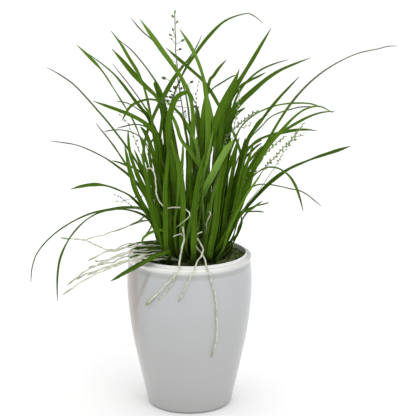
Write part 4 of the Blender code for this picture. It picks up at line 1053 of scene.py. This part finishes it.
      (-46, -60, 168, 2.9), (-53, -64, 165, 1))),
    (3.6, 0.40, (30, -10),
     ((40, -8, 173, 2.4), (45, -8, 178, 2.4), (50, -9, 184, 2.4), (52, -9, 191, 2.2),
      (54, -10, 199, 1.8), (54, -10, 203, 1))),
    (4.4, 0.34, (-26, -34),
     ((-28, -44, 182, 2.9), (-34, -46, 205, 3.5), (-39, -49, 226, 3.7), (-41, -51, 242, 3.7),
      (-42, -53, 255, 3.3), (-44, -54, 267, 2.3), (-47, -56, 279, 1))),
    (4.6, 0.80, (2, -24),
     ((-3, -36, 178, 2.4), (1, -37, 202, 2.6), (7, -37, 229, 2.8), (14, -38, 252, 2.8),
      (19, -39, 270, 2.6), (22, -39, 286, 2), (24, -40, 299, 1))),
    (4.0, 0.86, (10, -20),
     ((15, -30, 174, 2), (20, -31, 201, 2.2), (24, -32, 227, 2.4), (30, -33, 250, 2.2),
      (34, -33, 269, 2), (35, -34, 284, 1))),
    (4.0, 0.78, (-8, -26),
     ((-13, -36, 176, 2), (-15, -36, 202, 2.2), (-12, -36, 228, 2.4), (-11, -36, 251, 2.2),
      (-13, -36, 272, 2), (-17, -36, 290, 1))),
    (4.2, 0.74, (24, -24),
     ((34, -38, 174, 2), (41, -40, 196, 2.4), (50, -42, 217, 2.4), (58, -45, 234, 2.4),
      (66, -46, 247, 2), (73, -48, 258, 1))),
)


def free_leaf(name, widest, tone, root, spots):
    """A leaf from the moss along its listed points: x, y, z and how broad it looks there."""
    foot = (*root, ground(root[0] * MM, root[1] * MM) / MM + 1, spots[0][3])
    rows = resample([foot, *spots], 18) * MM
    spine, looks = rows[:, :3], rows[:, 3].clip(0.3 * MM, None)
    width = np.maximum(widest * MM * strap_width(lengths_along(spine)), looks)
    width[-1] = 0.4 * MM
    dry_from = 0.72 if looks[-5:].max() < 1.35 * MM else 1.0
    leaf = make_leaf(spine, facing_for(spine, looks, width), width, tone, looks, dry_from)
    hand_over(leaf, name, leaf_finish, "leaf")
    return leaf


for number, row in enumerate(MORE_LEAVES, 1):
    free_leaf(f"more_leaf_{number:02d}", *row)
print(len(MORE_LEAVES), "listed leaves")

# %% [markdown]
# The heart of the clump is filled with shorter upright leaves that can't be told apart.
# They are set by a rule: each starts at a shoot, leans away from the clump's middle, and
# gets its height, lean and tone from seeded random numbers, so the result stays the same.

# %% The heart of the clump
SHOOT_PLACES = ((-25, -4), (-15, -17), (-13, 12), (6, -14), (13, 14), (19, -3))
HEART_LEAVES = 46
for number in range(HEART_LEAVES):
    x, y = SHOOT_PLACES[number % 6]
    x += rng.uniform(-6, 6)
    y += rng.uniform(-4, 9)
    lean = np.array((x * 0.35 + rng.uniform(-8, 8), y * 1.1 + rng.uniform(-6, 14)))
    tall = rng.uniform(205, 285)
    bow = rng.uniform(0.15, 0.5)
    widest = rng.uniform(3.6, 6.6)
    looks = widest * rng.uniform(0.35, 0.95)
    spots = []
    for share in (0.3, 0.55, 0.8, 1.0):
        out = lean * (share * (1 - bow) + bow * share**2.4)
        high = 160 + (tall - 160) * share * (1.06 - 0.06 * share)
        spots.append((x + out[0], y + out[1], high, looks * (1.0 if share < 0.7 else 1.3 - share)))
    free_leaf(f"heart_leaf_{number + 1:02d}", widest, rng.uniform(0.24, 0.66), (x, y), spots)
print(HEART_LEAVES, "leaves in the heart")

# %% [markdown]
# Thin young leaves stand in front of the broad ones and cross each other. They make the
# clump look fine and streaky instead of made of slabs. Their rule is like the last one,
# with more difference in lean and tone.

# %% Thin leaves in front
THIN_LEAVES = 56
for number in range(THIN_LEAVES):
    x = rng.uniform(-27, 23)
    front = -18 if -24 < x < -8 else -34
    y = rng.uniform(front, -4)
    lean = np.array((x * 0.5 + rng.uniform(-18, 18), rng.uniform(-16, 4)))
    tall = rng.uniform(185, 290)
    bow = rng.uniform(0.2, 0.8)
    looks = rng.uniform(1.3, 2.8)
    spots = []
    for share in (0.3, 0.55, 0.8, 1.0):
        out = lean * (share * (1 - bow) + bow * share**2.6)
        high = 160 + (tall - 160) * share * (1.06 - 0.06 * share)
        spots.append((x + out[0], y + out[1], high, looks * (1.0 if share < 0.7 else 1.3 - share)))
    thin_tone = rng.uniform(0.02, 0.30) if number % 5 < 2 else rng.uniform(0.40, 0.95)
    free_leaf(f"thin_leaf_{number + 1:02d}", looks + rng.uniform(0.6, 1.6), thin_tone, (x, y), spots)
print(THIN_LEAVES, "thin leaves")

# %% [markdown]
# ## Shoots
# Each shoot is a small flattened bulb in papery sheaths. A copy of the plain shoot is
# merged and subdivided, which rounds its ridges, and it is streaked in the leaf's green
# and a paler, browner green.

# %% Shoots
shoot_finish, tree, shader = new_finish("shoot", 0.5)
streak = speckle(tree, 60.0, 4.0, 0.6, (6, 6, 1))
colour_of(tree, shader, ramp(tree, streak, (0.35, (0.05, 0.085, 0.014)), (0.55, (0.10, 0.17, 0.03)),
                             (0.75, (0.19, 0.22, 0.07))))
bumpy(tree, shader, streak, 0.5, 0.0006)


def finer_copy(node, levels):
    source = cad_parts[node]
    copy = source.copy()
    copy.data = source.data.copy()
    bpy.context.scene.collection.objects.link(copy)
    pick(copy)
    bpy.ops.object.mode_set(mode="EDIT")
    bpy.ops.mesh.select_all(action="SELECT")
    bpy.ops.mesh.remove_doubles(threshold=0.000002)
    bpy.ops.mesh.normals_make_consistent(inside=False)
    bpy.ops.object.mode_set(mode="OBJECT")
    add_modifier(copy, "SUBSURF", levels=levels, render_levels=levels)
    pick(copy)
    bpy.ops.object.shade_smooth()
    return copy


for number in range(1, 7):
    shoot = finer_copy(f"shoot_{number}", 2)
    hand_over(shoot, f"sheathed_shoot_{number}", shoot_finish, "shoot", f"shoot_{number}")

# %% [markdown]
# ## Bark chip
# A worn, olive grey chip of bark lies on the moss at the right. The plain one is
# subdivided and pushed in and out by noise.

# %% Bark chip
bark_finish, tree, shader = new_finish("bark", 0.85)
grain = speckle(tree, 160.0, 5.0, 0.6, (1, 1, 3))
colour_of(tree, shader, ramp(tree, grain, (0.3, (0.035, 0.036, 0.016)), (0.55, (0.065, 0.066, 0.030)),
                             (0.8, (0.13, 0.12, 0.07))))
bumpy(tree, shader, grain, 0.5, 0.0008)
chip = finer_copy("bark_chip", 2)
points = points_of(chip)
for index, point in enumerate(points):
    points[index] = point * 1.0
    points[index, 2] += 0.0004 * noise.noise(Vector(point) * 350)
set_points(chip, points)
hand_over(chip, "worn_bark_chip", bark_finish, "bark", "bark_chip")

# %% [markdown]
# ## Aerial roots
# A root is a smooth cord in a pale, spongy coat with a green growing tip. The plain
# roots are read ring by ring and a finer rod is bent along them. The coat is uneven, so
# the radius swells and thins a little on the way.

# %% Root finish
root_finish, tree, shader = new_finish("root", 0.62, Subsurface_Weight=0.1, Subsurface_Scale=0.001)
spots_share = speckle(tree, 240.0, 4.0, 0.6)
colour = ramp(tree, spots_share, (0.30, (0.34, 0.36, 0.24)), (0.52, (0.62, 0.64, 0.52)), (0.75, (0.78, 0.79, 0.70)))
tip_share = ramp(tree, measured(tree, "along"), (0.90, (0, 0, 0)), (0.97, (1, 1, 1)))
colour = blend(tree, tip_share, colour, (0.25, 0.31, 0.12))
# painted shade: the foot of a root, inside the clump, is darkened; the tone attribute sets how much
root_foot_shade = ramp(tree, measured(tree, "along"), (0.10, (1, 1, 1)), (0.42, (0, 0, 0)))
colour = blend(tree, reckon(tree, "MULTIPLY", root_foot_shade, measured(tree, "tone")), colour, (0.15, 0.18, 0.08))
colour_of(tree, shader, colour)
bumpy(tree, shader, spots_share, 0.4, 0.0004)


# %% Bend the roots
def make_root(name, spine, radius, *nodes, tip_swell=1.1, swell_span=0.04, wander=0.35, foot_shade=0.15):
    """A root along a spine, with an uneven coat and a rounded tip."""
    count = 57
    path = resample(spine, count)
    size = resample(np.array(radius)[:, None], count)[:, 0]
    share = np.linspace(0, 1, count)
    phase = rng.uniform(0, 6.28)
    length = np.linalg.norm(np.diff(path, axis=0), axis=1).sum()
    swing = np.sin(share * length / 0.0028 + phase) + 0.6 * np.sin(share * length / 0.0016 + 2 * phase)
    aside = unit_rows(np.cross(np.gradient(path, axis=0), (0.0, -1.0, 0.2)))
    path = path + aside * (wander * MM * swing * np.sin(math.pi * share) ** 0.5)[:, None]
    size = size * (1 + 0.10 * np.sin(share * 37 + phase) + 0.07 * np.sin(share * 83 + 2 * phase))
    size *= 1 + (tip_swell - 1) * np.exp(-(((share - 0.95) / swell_span) ** 2))
    size[-3:] *= (0.9, 0.66, 0.25)
    root = bend(root_master, path, np.tile((0.2, -0.9, 0.35), (count, 1)), size, size, foot_shade)
    pick(root)
    bpy.ops.object.shade_smooth()
    hand_over(root, name, root_finish, "root", *nodes)
    return root


for number in range(1, 9):
    rings = rings_of(f"root_{number}", 5)
    spine = np.array([ring.mean(axis=0) for ring in rings][::-1])
    radius = [np.linalg.norm(ring - ring.mean(axis=0), axis=1).mean() for ring in rings][::-1]
    radius[-1] = radius[-2]
    # roots 2 to 5 get more painted shade at the foot
    looks_of = {"foot_shade": 0.75} if 2 <= number <= 5 else {}
    if number == 6:
        looks_of = {"tip_swell": 2.0, "swell_span": 0.10}
    make_root(f"aerial_root_{number}", spine, radius, f"root_{number}", **looks_of)

# %% [markdown]
# More strands than the plain model holds hang over the left rim and climb among the
# leaves. They are listed with their radius and path.

# %% The listed strands
MORE_ROOTS = (
    (0.7, ((-25, -34, 179), (-38, -31, 179), (-50, -29, 178), (-58, -27, 180), (-69, -25, 173),
           (-83, -22, 171), (-96, -19, 176), (-111, -16, 181), (-121, -14, 181), (-134, -12, 182))),
    (0.55, ((-31, 0, 192), (-48, -1, 198), (-64, -2, 192), (-84, -4, 185), (-105, -5, 179),
           (-112, -6, 178))),
    (0.75, ((-21, -40, 173), (-33, -38, 171), (-44, -37, 171), (-56, -35, 170), (-69, -33, 166),
           (-79, -32, 161), (-92, -30, 158), (-104, -28, 154))),
    (0.75, ((-21, -40, 169), (-32, -40, 169), (-43, -40, 169), (-55, -40, 168), (-68, -40, 164),
           (-81, -40, 159), (-93, -40, 155), (-105, -40, 151), (-116, -40, 145))),
    (0.65, ((-25, -36, 175), (-36, -35, 174), (-47, -34, 173), (-58, -33, 174), (-70, -32, 170),
           (-81, -31, 165), (-91, -31, 162), (-97, -30, 162))),
    (0.6, ((-24, -24, 183), (-34, -23, 181), (-44, -22, 179), (-55, -21, 179), (-65, -20, 177),
           (-76, -19, 172), (-84, -18, 170))),
    (0.45, ((-7, -46, 193), (-8, -48, 195), (-12, -51, 195), (-16, -54, 194))),
    (0.6, ((11, -48, 187), (8, -47, 190), (8, -46, 193), (10, -45, 195), (14, -44, 197))),
    (0.5, ((15, -30, 183), (18, -36, 198), (18, -39, 206), (21, -42, 212), (22, -43, 215),
           (20, -45, 218))),
)
# strands further back in the clump get more painted shade at the foot
for number, (radius, spots) in enumerate(MORE_ROOTS, 1):
    spine = np.array(spots, float) * MM
    make_root(f"thin_root_{number:02d}", spine, [radius * MM] * len(spots), tip_swell=1.45,
              foot_shade=0.75 if spots[0][1] > -40 else 0.45)

# %% [markdown]
# The root that hangs down the wall at the left has a branch. It lies on the glaze, so
# its places are given as bearings from the front and heights, and the wall's own
# outline gives the radius.

# %% A branch on the wall
WALL_BRANCH = ((-11, 157), (-12.5, 153), (-15, 147), (-19, 140), (-24, 133), (-28, 129))
outer_wall = wall[wall[:, 0].argmax():]
branch = []
for bearing, high in WALL_BRANCH:
    nearest = outer_wall[np.abs(outer_wall[:, 1] - high * MM).argmin(), 0] + 0.5 * MM
    angle = math.radians(bearing)
    branch.append((nearest * math.sin(angle), -nearest * math.cos(angle), high * MM))
make_root("root_branch_on_wall", np.array(branch), [0.7 * MM] * len(branch), wander=0.0)

# %% [markdown]
# ## Flower spikes
# A spike is a wiry stem with small pointed buds on short stalks. The stem's line is read
# from the plain spike by slicing it: at each height, the points of its triangles near
# the last place give the next one.

# %% Stem lines
def stem_line(node, count):
    """The middle line of a plain spike's stem, from its foot to its top."""
    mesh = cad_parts[node].data
    spots = np.array([v.co[:] for v in mesh.vertices])
    edges = np.array([e.vertices[:] for e in mesh.edges])
    low, high = spots[:, 2].min(), spots[:, 2].max()
    line = []
    last = None
    for height in np.linspace(low + 0.0006, high - 0.0006, count):
        first, second = spots[edges[:, 0]], spots[edges[:, 1]]
        crossing = (first[:, 2] - height) * (second[:, 2] - height) < 0
        first, second = first[crossing], second[crossing]
        share = ((height - first[:, 2]) / (second[:, 2] - first[:, 2]))[:, None]
        cut = first + (second - first) * share
        if last is not None:
            near = np.linalg.norm(cut[:, :2] - last[:2], axis=1) < 0.0045
            cut = cut[near] if near.any() else cut
        last = (cut.min(axis=0) + cut.max(axis=0)) / 2 if last is None else np.median(cut, axis=0)
        line.append(last)
    return np.array(line)


stem_lines = {number: stem_line(f"flower_spike_{number}", 40) for number in range(1, 6)}
for number, line in stem_lines.items():
    print("spike", number, "foot", line[0].round(3), "top", line[-1].round(3))

# %% [markdown]
# The bud is a sphere drawn out to a point at its top and tapered to its stalk. It is
# modelled once; a spike's buds are copies of it that are turned, sized and joined.

# %% Bud
def bud_shape():
    object_mode()
    bpy.ops.mesh.primitive_uv_sphere_add(segments=10, ring_count=8, radius=0.5)
    bud = bpy.context.object
    bud.name = "bud_master"
    points = points_of(bud)
    lift = points[:, 2] + 0.5
    points[:, :2] *= (0.62 * (1 - 0.55 * lift**2.2))[:, None]
    points[:, 2] = lift
    set_points(bud, points)
    bpy.ops.object.shade_smooth()
    return bud


bud_master = bud_shape()


def put_bud(place, way, length, plump=1.0):
    bud = bud_master.copy()
    bud.data = bud_master.data.copy()
    bpy.context.scene.collection.objects.link(bud)
    turn = Vector(way).to_track_quat("Z", "Y").to_matrix().to_4x4()
    bud.matrix_world = Matrix.Translation(place) @ turn @ Matrix.Diagonal((length * plump, length * plump, length, 1))
    return bud


def joined(parts):
    object_mode()
    for part in parts:
        part.select_set(True)
    bpy.context.view_layer.objects.active = parts[0]
    bpy.ops.object.join()
    piece = bpy.context.object
    apply_place(piece)
    return piece


# %% [markdown]
# The green of a spike is paler and yellower than the leaves'. The tone attribute carries
# the difference: the stem has a low one and the buds a high one.

# %% Spike finish
spike_finish, tree, shader = new_finish("spike", 0.55)
flecks = speckle(tree, 500.0, 3.0, 0.6)
mix_tone = reckon(tree, "ADD", measured(tree, "tone"), reckon(tree, "MULTIPLY", reckon(tree, "SUBTRACT", flecks, 0.5), 0.6))
colour_of(tree, shader, ramp(tree, mix_tone, (0.0, (0.035, 0.045, 0.022)), (0.3, (0.10, 0.16, 0.045)),
                             (0.55, (0.19, 0.30, 0.08)), (0.8, (0.38, 0.48, 0.22)), (1.0, (0.62, 0.66, 0.50))))
bumpy(tree, shader, flecks, 0.3, 0.0003)


def thin_rod(path, radii, tone):
    path = resample(path, 41)
    size = resample(np.array(radii, float)[:, None], 41)[:, 0]
    rod = bend(stem_master, path, np.tile((0.2, -0.9, 0.35), (41, 1)), size, size, tone)
    pick(rod)
    bpy.ops.object.shade_smooth()
    return rod


def stalked_bud(start, end, length, tone, stalk_radius=0.28 * MM, plump=1.0):
    start, end = np.array(start), np.array(end)
    way = end - start
    bow = start + way * 0.5 + np.array((0, 0, -0.1)) * np.linalg.norm(way)
    stalk = thin_rod([start, bow, end], [stalk_radius] * 3, 0.35)
    bud = put_bud(Vector(end - way / np.linalg.norm(way) * 0.1 * length), way, length, plump)
    store(bud, "tone", np.full(len(bud.data.vertices), tone))
    store(bud, "along", np.zeros(len(bud.data.vertices)))
    store(bud, "aside", np.zeros(len(bud.data.vertices)))
    return [stalk, bud]


# %% Tall spike
TALL_BUDS = ((175, 12.8, 3.6, 0.6), (173.5, 17, 3.8, 0.4), (176.5, 22.7, 3.4, 0.4), (173.2, 30.5, 3.4, 0.4),
             (171.5, 35.5, 3.8, 0.5), (172, 39.5, 2.4, 0.1), (181.5, 41, 4.2, 0.4), (179, 49.5, 3.6, 0.05),
             (169.3, 57, 3.2, 0.05), (181, 67, 3.6, 0.02), (176, 66, 2.6, 0.2), (165.5, 78.5, 5.0, 0.2),
             (179.5, 83, 3.6, 0.02), (177, 87, 3.0, 0.2), (175.5, 89, 4.6, 0.0), (171.5, 91.5, 3.4, 0.1),
             (181, 89.5, 3.4, 0.1), (190.5, 82.5, 4.0, 0.0), (172, 97.5, 4.0, 0.0), (168, 97, 3.6, 0.1),
             (173, 95.5, 3.0, 0.1), (169, 101, 3.6, 0.05), (165.5, 99, 3.0, 0.2), (167.5, 108.5, 3.0, 0.0),
             (163, 102, 3.0, 0.1), (184.5, 112, 3.0, 0.1), (193.5, 106.5, 3.8, 0.0))
FLOWERS = ((188, 87, 2.6), (193, 111, 2.8), (185, 116, 2.2))


def nearest_on(line, height):
    return line[np.argmin(np.abs(line[:, 2] - height))]


line = stem_lines[1]
parts = [thin_rod(line, np.linspace(0.95, 0.45, 40) * MM, 0.25)]
for pixel_x, pixel_y, length, bud_tone in TALL_BUDS:
    bud_place = at_depth(pixel_x, pixel_y, -0.015)
    near = nearest_on(line, bud_place[2] - 0.004)
    bud_place = at_depth(pixel_x, pixel_y, near[1] - 0.001)
    parts += stalked_bud(near, bud_place, length * MM, bud_tone, plump=1.15)
for pixel_x, pixel_y, length in FLOWERS:
    middle = at_depth(pixel_x, pixel_y, -0.016)
    near = nearest_on(line, middle[2] - 0.003)
    middle = at_depth(pixel_x, pixel_y, near[1] - 0.003)
    for petal in range(5):
        angle = petal * 1.257 + 0.3
        tip = middle + np.array((math.cos(angle), -0.5, math.sin(angle))) * length * 0.5 * MM
        parts += stalked_bud(middle if petal else near, tip, length * MM, 1.0, 0.2 * MM, 1.0)
hand_over(joined(parts), "tall_flower_spike", spike_finish, "spike", "flower_spike_1")

# %% [markdown]
# The lower spikes carry many small buds close together, left and right in turn, so they
# look beaded. One rule places them: equal steps along the upper part of the stem.

# %% Beaded spikes
def beaded_spike(name, line, first, step, bead, radius, tone, *nodes):
    fine = resample(line, 200)
    lengths = np.concatenate([[0], np.cumsum(np.linalg.norm(np.diff(fine, axis=0), axis=1))])
    parts = [thin_rod(line, np.linspace(radius, 0.5 * radius, len(line)) * MM, 0.45)]
    ways = unit_rows(np.gradient(fine, axis=0))
    at = first * lengths[-1]
    side = 1
    while at < lengths[-1]:
        index = int(np.searchsorted(lengths, at))
        index = min(index, 199)
        share = at / lengths[-1]
        out = ways[index] * rng.uniform(0.7, 1.7) + side * np.array((0.75, rng.uniform(-0.9, 0.5), -0.45))
        out = out / np.linalg.norm(out) * (0.5 + 0.9 * rng.random()) * MM
        size = bead * (1.15 - 0.5 * share) * rng.uniform(0.6, 1.25) * MM
        parts += stalked_bud(fine[index], fine[index] + out, size, tone + rng.uniform(-0.2, 0.2), 0.2 * MM, 1.35)
        side = -side
        at += step * MM * rng.uniform(0.75, 1.25)
    hand_over(joined(parts), name, spike_finish, "spike", *nodes)


beaded_spike("right_flower_spike_upper", stem_lines[2], 0.62, 2.2, 3.2, 0.7, 0.66, "flower_spike_2")
beaded_spike("right_flower_spike_lower", stem_lines[3], 0.74, 3.0, 3.0, 0.5, 0.56, "flower_spike_3")
beaded_spike("left_flower_spike", stem_lines[4], 0.64, 4.2, 2.8, 0.5, 0.16, "flower_spike_4")
beaded_spike("middle_flower_spike", stem_lines[5], 0.78, 3.6, 3.0, 0.5, 0.72, "flower_spike_5")

# %% [markdown]
# Shorter spikes stand between the leaves and lean out of the clump. They are listed with
# their radius, where their buds begin, the step between two buds, the bud's length, its
# tone and the line of the stem. A twig starts on the stem that carries it.

# %% The listed spikes
MORE_SPIKES = (
    ("low_left_spike", 0.45, 0.45, 4.6, 2.6, 0.35,
     ((-30, -8, 185), (-38, -9, 201), (-44, -10, 208), (-52, -10, 213), (-57, -10, 214),
      (-64, -11, 219), (-71, -12, 225), (-77, -12, 228))),
    ("pale_left_spike", 0.35, 0.58, 6.0, 2.2, 0.60,
     ((-31, -4, 194), (-36, -5, 216), (-41, -5, 225), (-44, -5, 226), (-56, -5, 223), (-67, -6, 220),
      (-77, -6, 219))),
    ("right_spike_high", 0.9, 0.6, 2.4, 3.4, 0.50,
     ((24, 0, 177), (29, 2, 230), (34, 4, 267), (37, 4, 282), (44, 5, 291), (50, 5, 297), (56, 5, 302),
      (63, 6, 307), (67, 6, 310), (72, 6, 312))),
    ("hanging_twig", 0.3, 0.35, 2.8, 2.4, 0.80,
     ((48, 4, 295), (55, 4, 295), (61, 4, 297), (63, 4, 298), (62, 4, 302))),
    ("right_spike_mid", 0.7, 0.68, 2.4, 3.2, 0.60,
     ((37, -10, 190), (52, -11, 228), (64, -12, 252), (75, -13, 267), (81, -13, 274), (89, -14, 282),
      (98, -14, 289))),
    ("right_spike_low", 0.6, 0.6, 2.6, 3.0, 0.60,
     ((44, -16, 197), (52, -19, 224), (57, -21, 240), (60, -22, 246), (65, -23, 251), (70, -23, 254),
      (76, -24, 257))),
    ("side_twig", 0.35, 0.25, 2.6, 2.8, 0.60,
     ((103, -29, 286), (106, -29, 289), (109, -30, 292), (114, -30, 293))),
    ("heart_spike", 0.35, 0.72, 4.6, 2.8, 0.20,
     ((11, -4, 205), (10, -2, 263), (8, 0, 299), (8, 1, 316), (7, 1, 327), (9, 2, 337), (10, 2, 345))),
)
for name, radius, first, step, bead, bead_tone, spots in MORE_SPIKES:
    beaded_spike(name, resample(np.array(spots, float) * MM, 40), first, step, bead, radius, bead_tone)
print(len(MORE_SPIKES), "listed spikes")

# %% [markdown]
# ## Moss tufts and crumbs
# Up close the moss is made of small tufts. A tuft is one object's worth of thin
# three-sided spikes that lean out from its middle. Hundreds of copies, each with its
# own turn and size, are joined into one piece that lies on the ground.

# %% Moss tufts
def tuft_points(spread, tall):
    """Points and faces of a small tuft: seven closed three-sided spikes."""
    points, faces = [], []
    for number in range(7):
        turn = number * 2.4
        lean = 0.0 if number == 0 else 0.8
        base = np.array((math.cos(turn) * 0.2, math.sin(turn) * 0.2, -0.3)) * spread
        tip = np.array((math.cos(turn) * lean * spread, math.sin(turn) * lean * spread, tall * (1.2 - 0.5 * lean)))
        start = len(points)
        for corner in range(3):
            angle = turn + corner * 2.094
            points.append(base + 0.22 * spread * np.array((math.cos(angle), math.sin(angle), 0)))
        points.append(tip)
        faces += [(start, start + 2, start + 1), (start, start + 1, start + 3), (start + 1, start + 2, start + 3),
                  (start + 2, start, start + 3)]
    return np.array(points), faces


TUFTS = 1300
points, faces = [], []
for _ in range(TUFTS):
    angle = rng.uniform(0, 2 * math.pi)
    reach = 0.0565 * math.sqrt(rng.uniform(0, 1))
    x, y = reach * math.cos(angle), reach * math.sin(angle)
    shape, sides = tuft_points(rng.uniform(0.0009, 0.0017), rng.uniform(0.0010, 0.0022))
    turn = rng.uniform(0, 6.28)
    cos, sin = math.cos(turn), math.sin(turn)
    shape = np.column_stack([shape[:, 0] * cos - shape[:, 1] * sin, shape[:, 0] * sin + shape[:, 1] * cos, shape[:, 2]])
    faces += [tuple(len(points) + i for i in face) for face in sides]
    points += list(shape + (x, y, moss_top(x, y) + 0.0003))
mesh = bpy.data.meshes.new("moss_tufts")
mesh.from_pydata([tuple(point) for point in points], [], faces)
tufts = bpy.data.objects.new("moss_tufts", mesh)
bpy.context.scene.collection.objects.link(tufts)
pick(tufts)
bpy.ops.object.shade_flat()
hand_over(tufts, "moss_tufts", moss_finish, "moss")
print(TUFTS, "tufts,", len(mesh.polygons), "faces")

# %% [markdown]
# ## Last steps
# The straight masters have done their work and go, and the triangles of all pieces are
# counted.

# %% Finish
for master in (blade_master, stem_master, root_master, bud_master):
    bpy.data.objects.remove(master, do_unlink=True)
object_mode()
bpy.context.view_layer.update()
triangles = sum(len(p.vertices) - 2 for piece in pieces for p in piece.data.polygons)
print(len(pieces), "pieces,", triangles, "triangles")
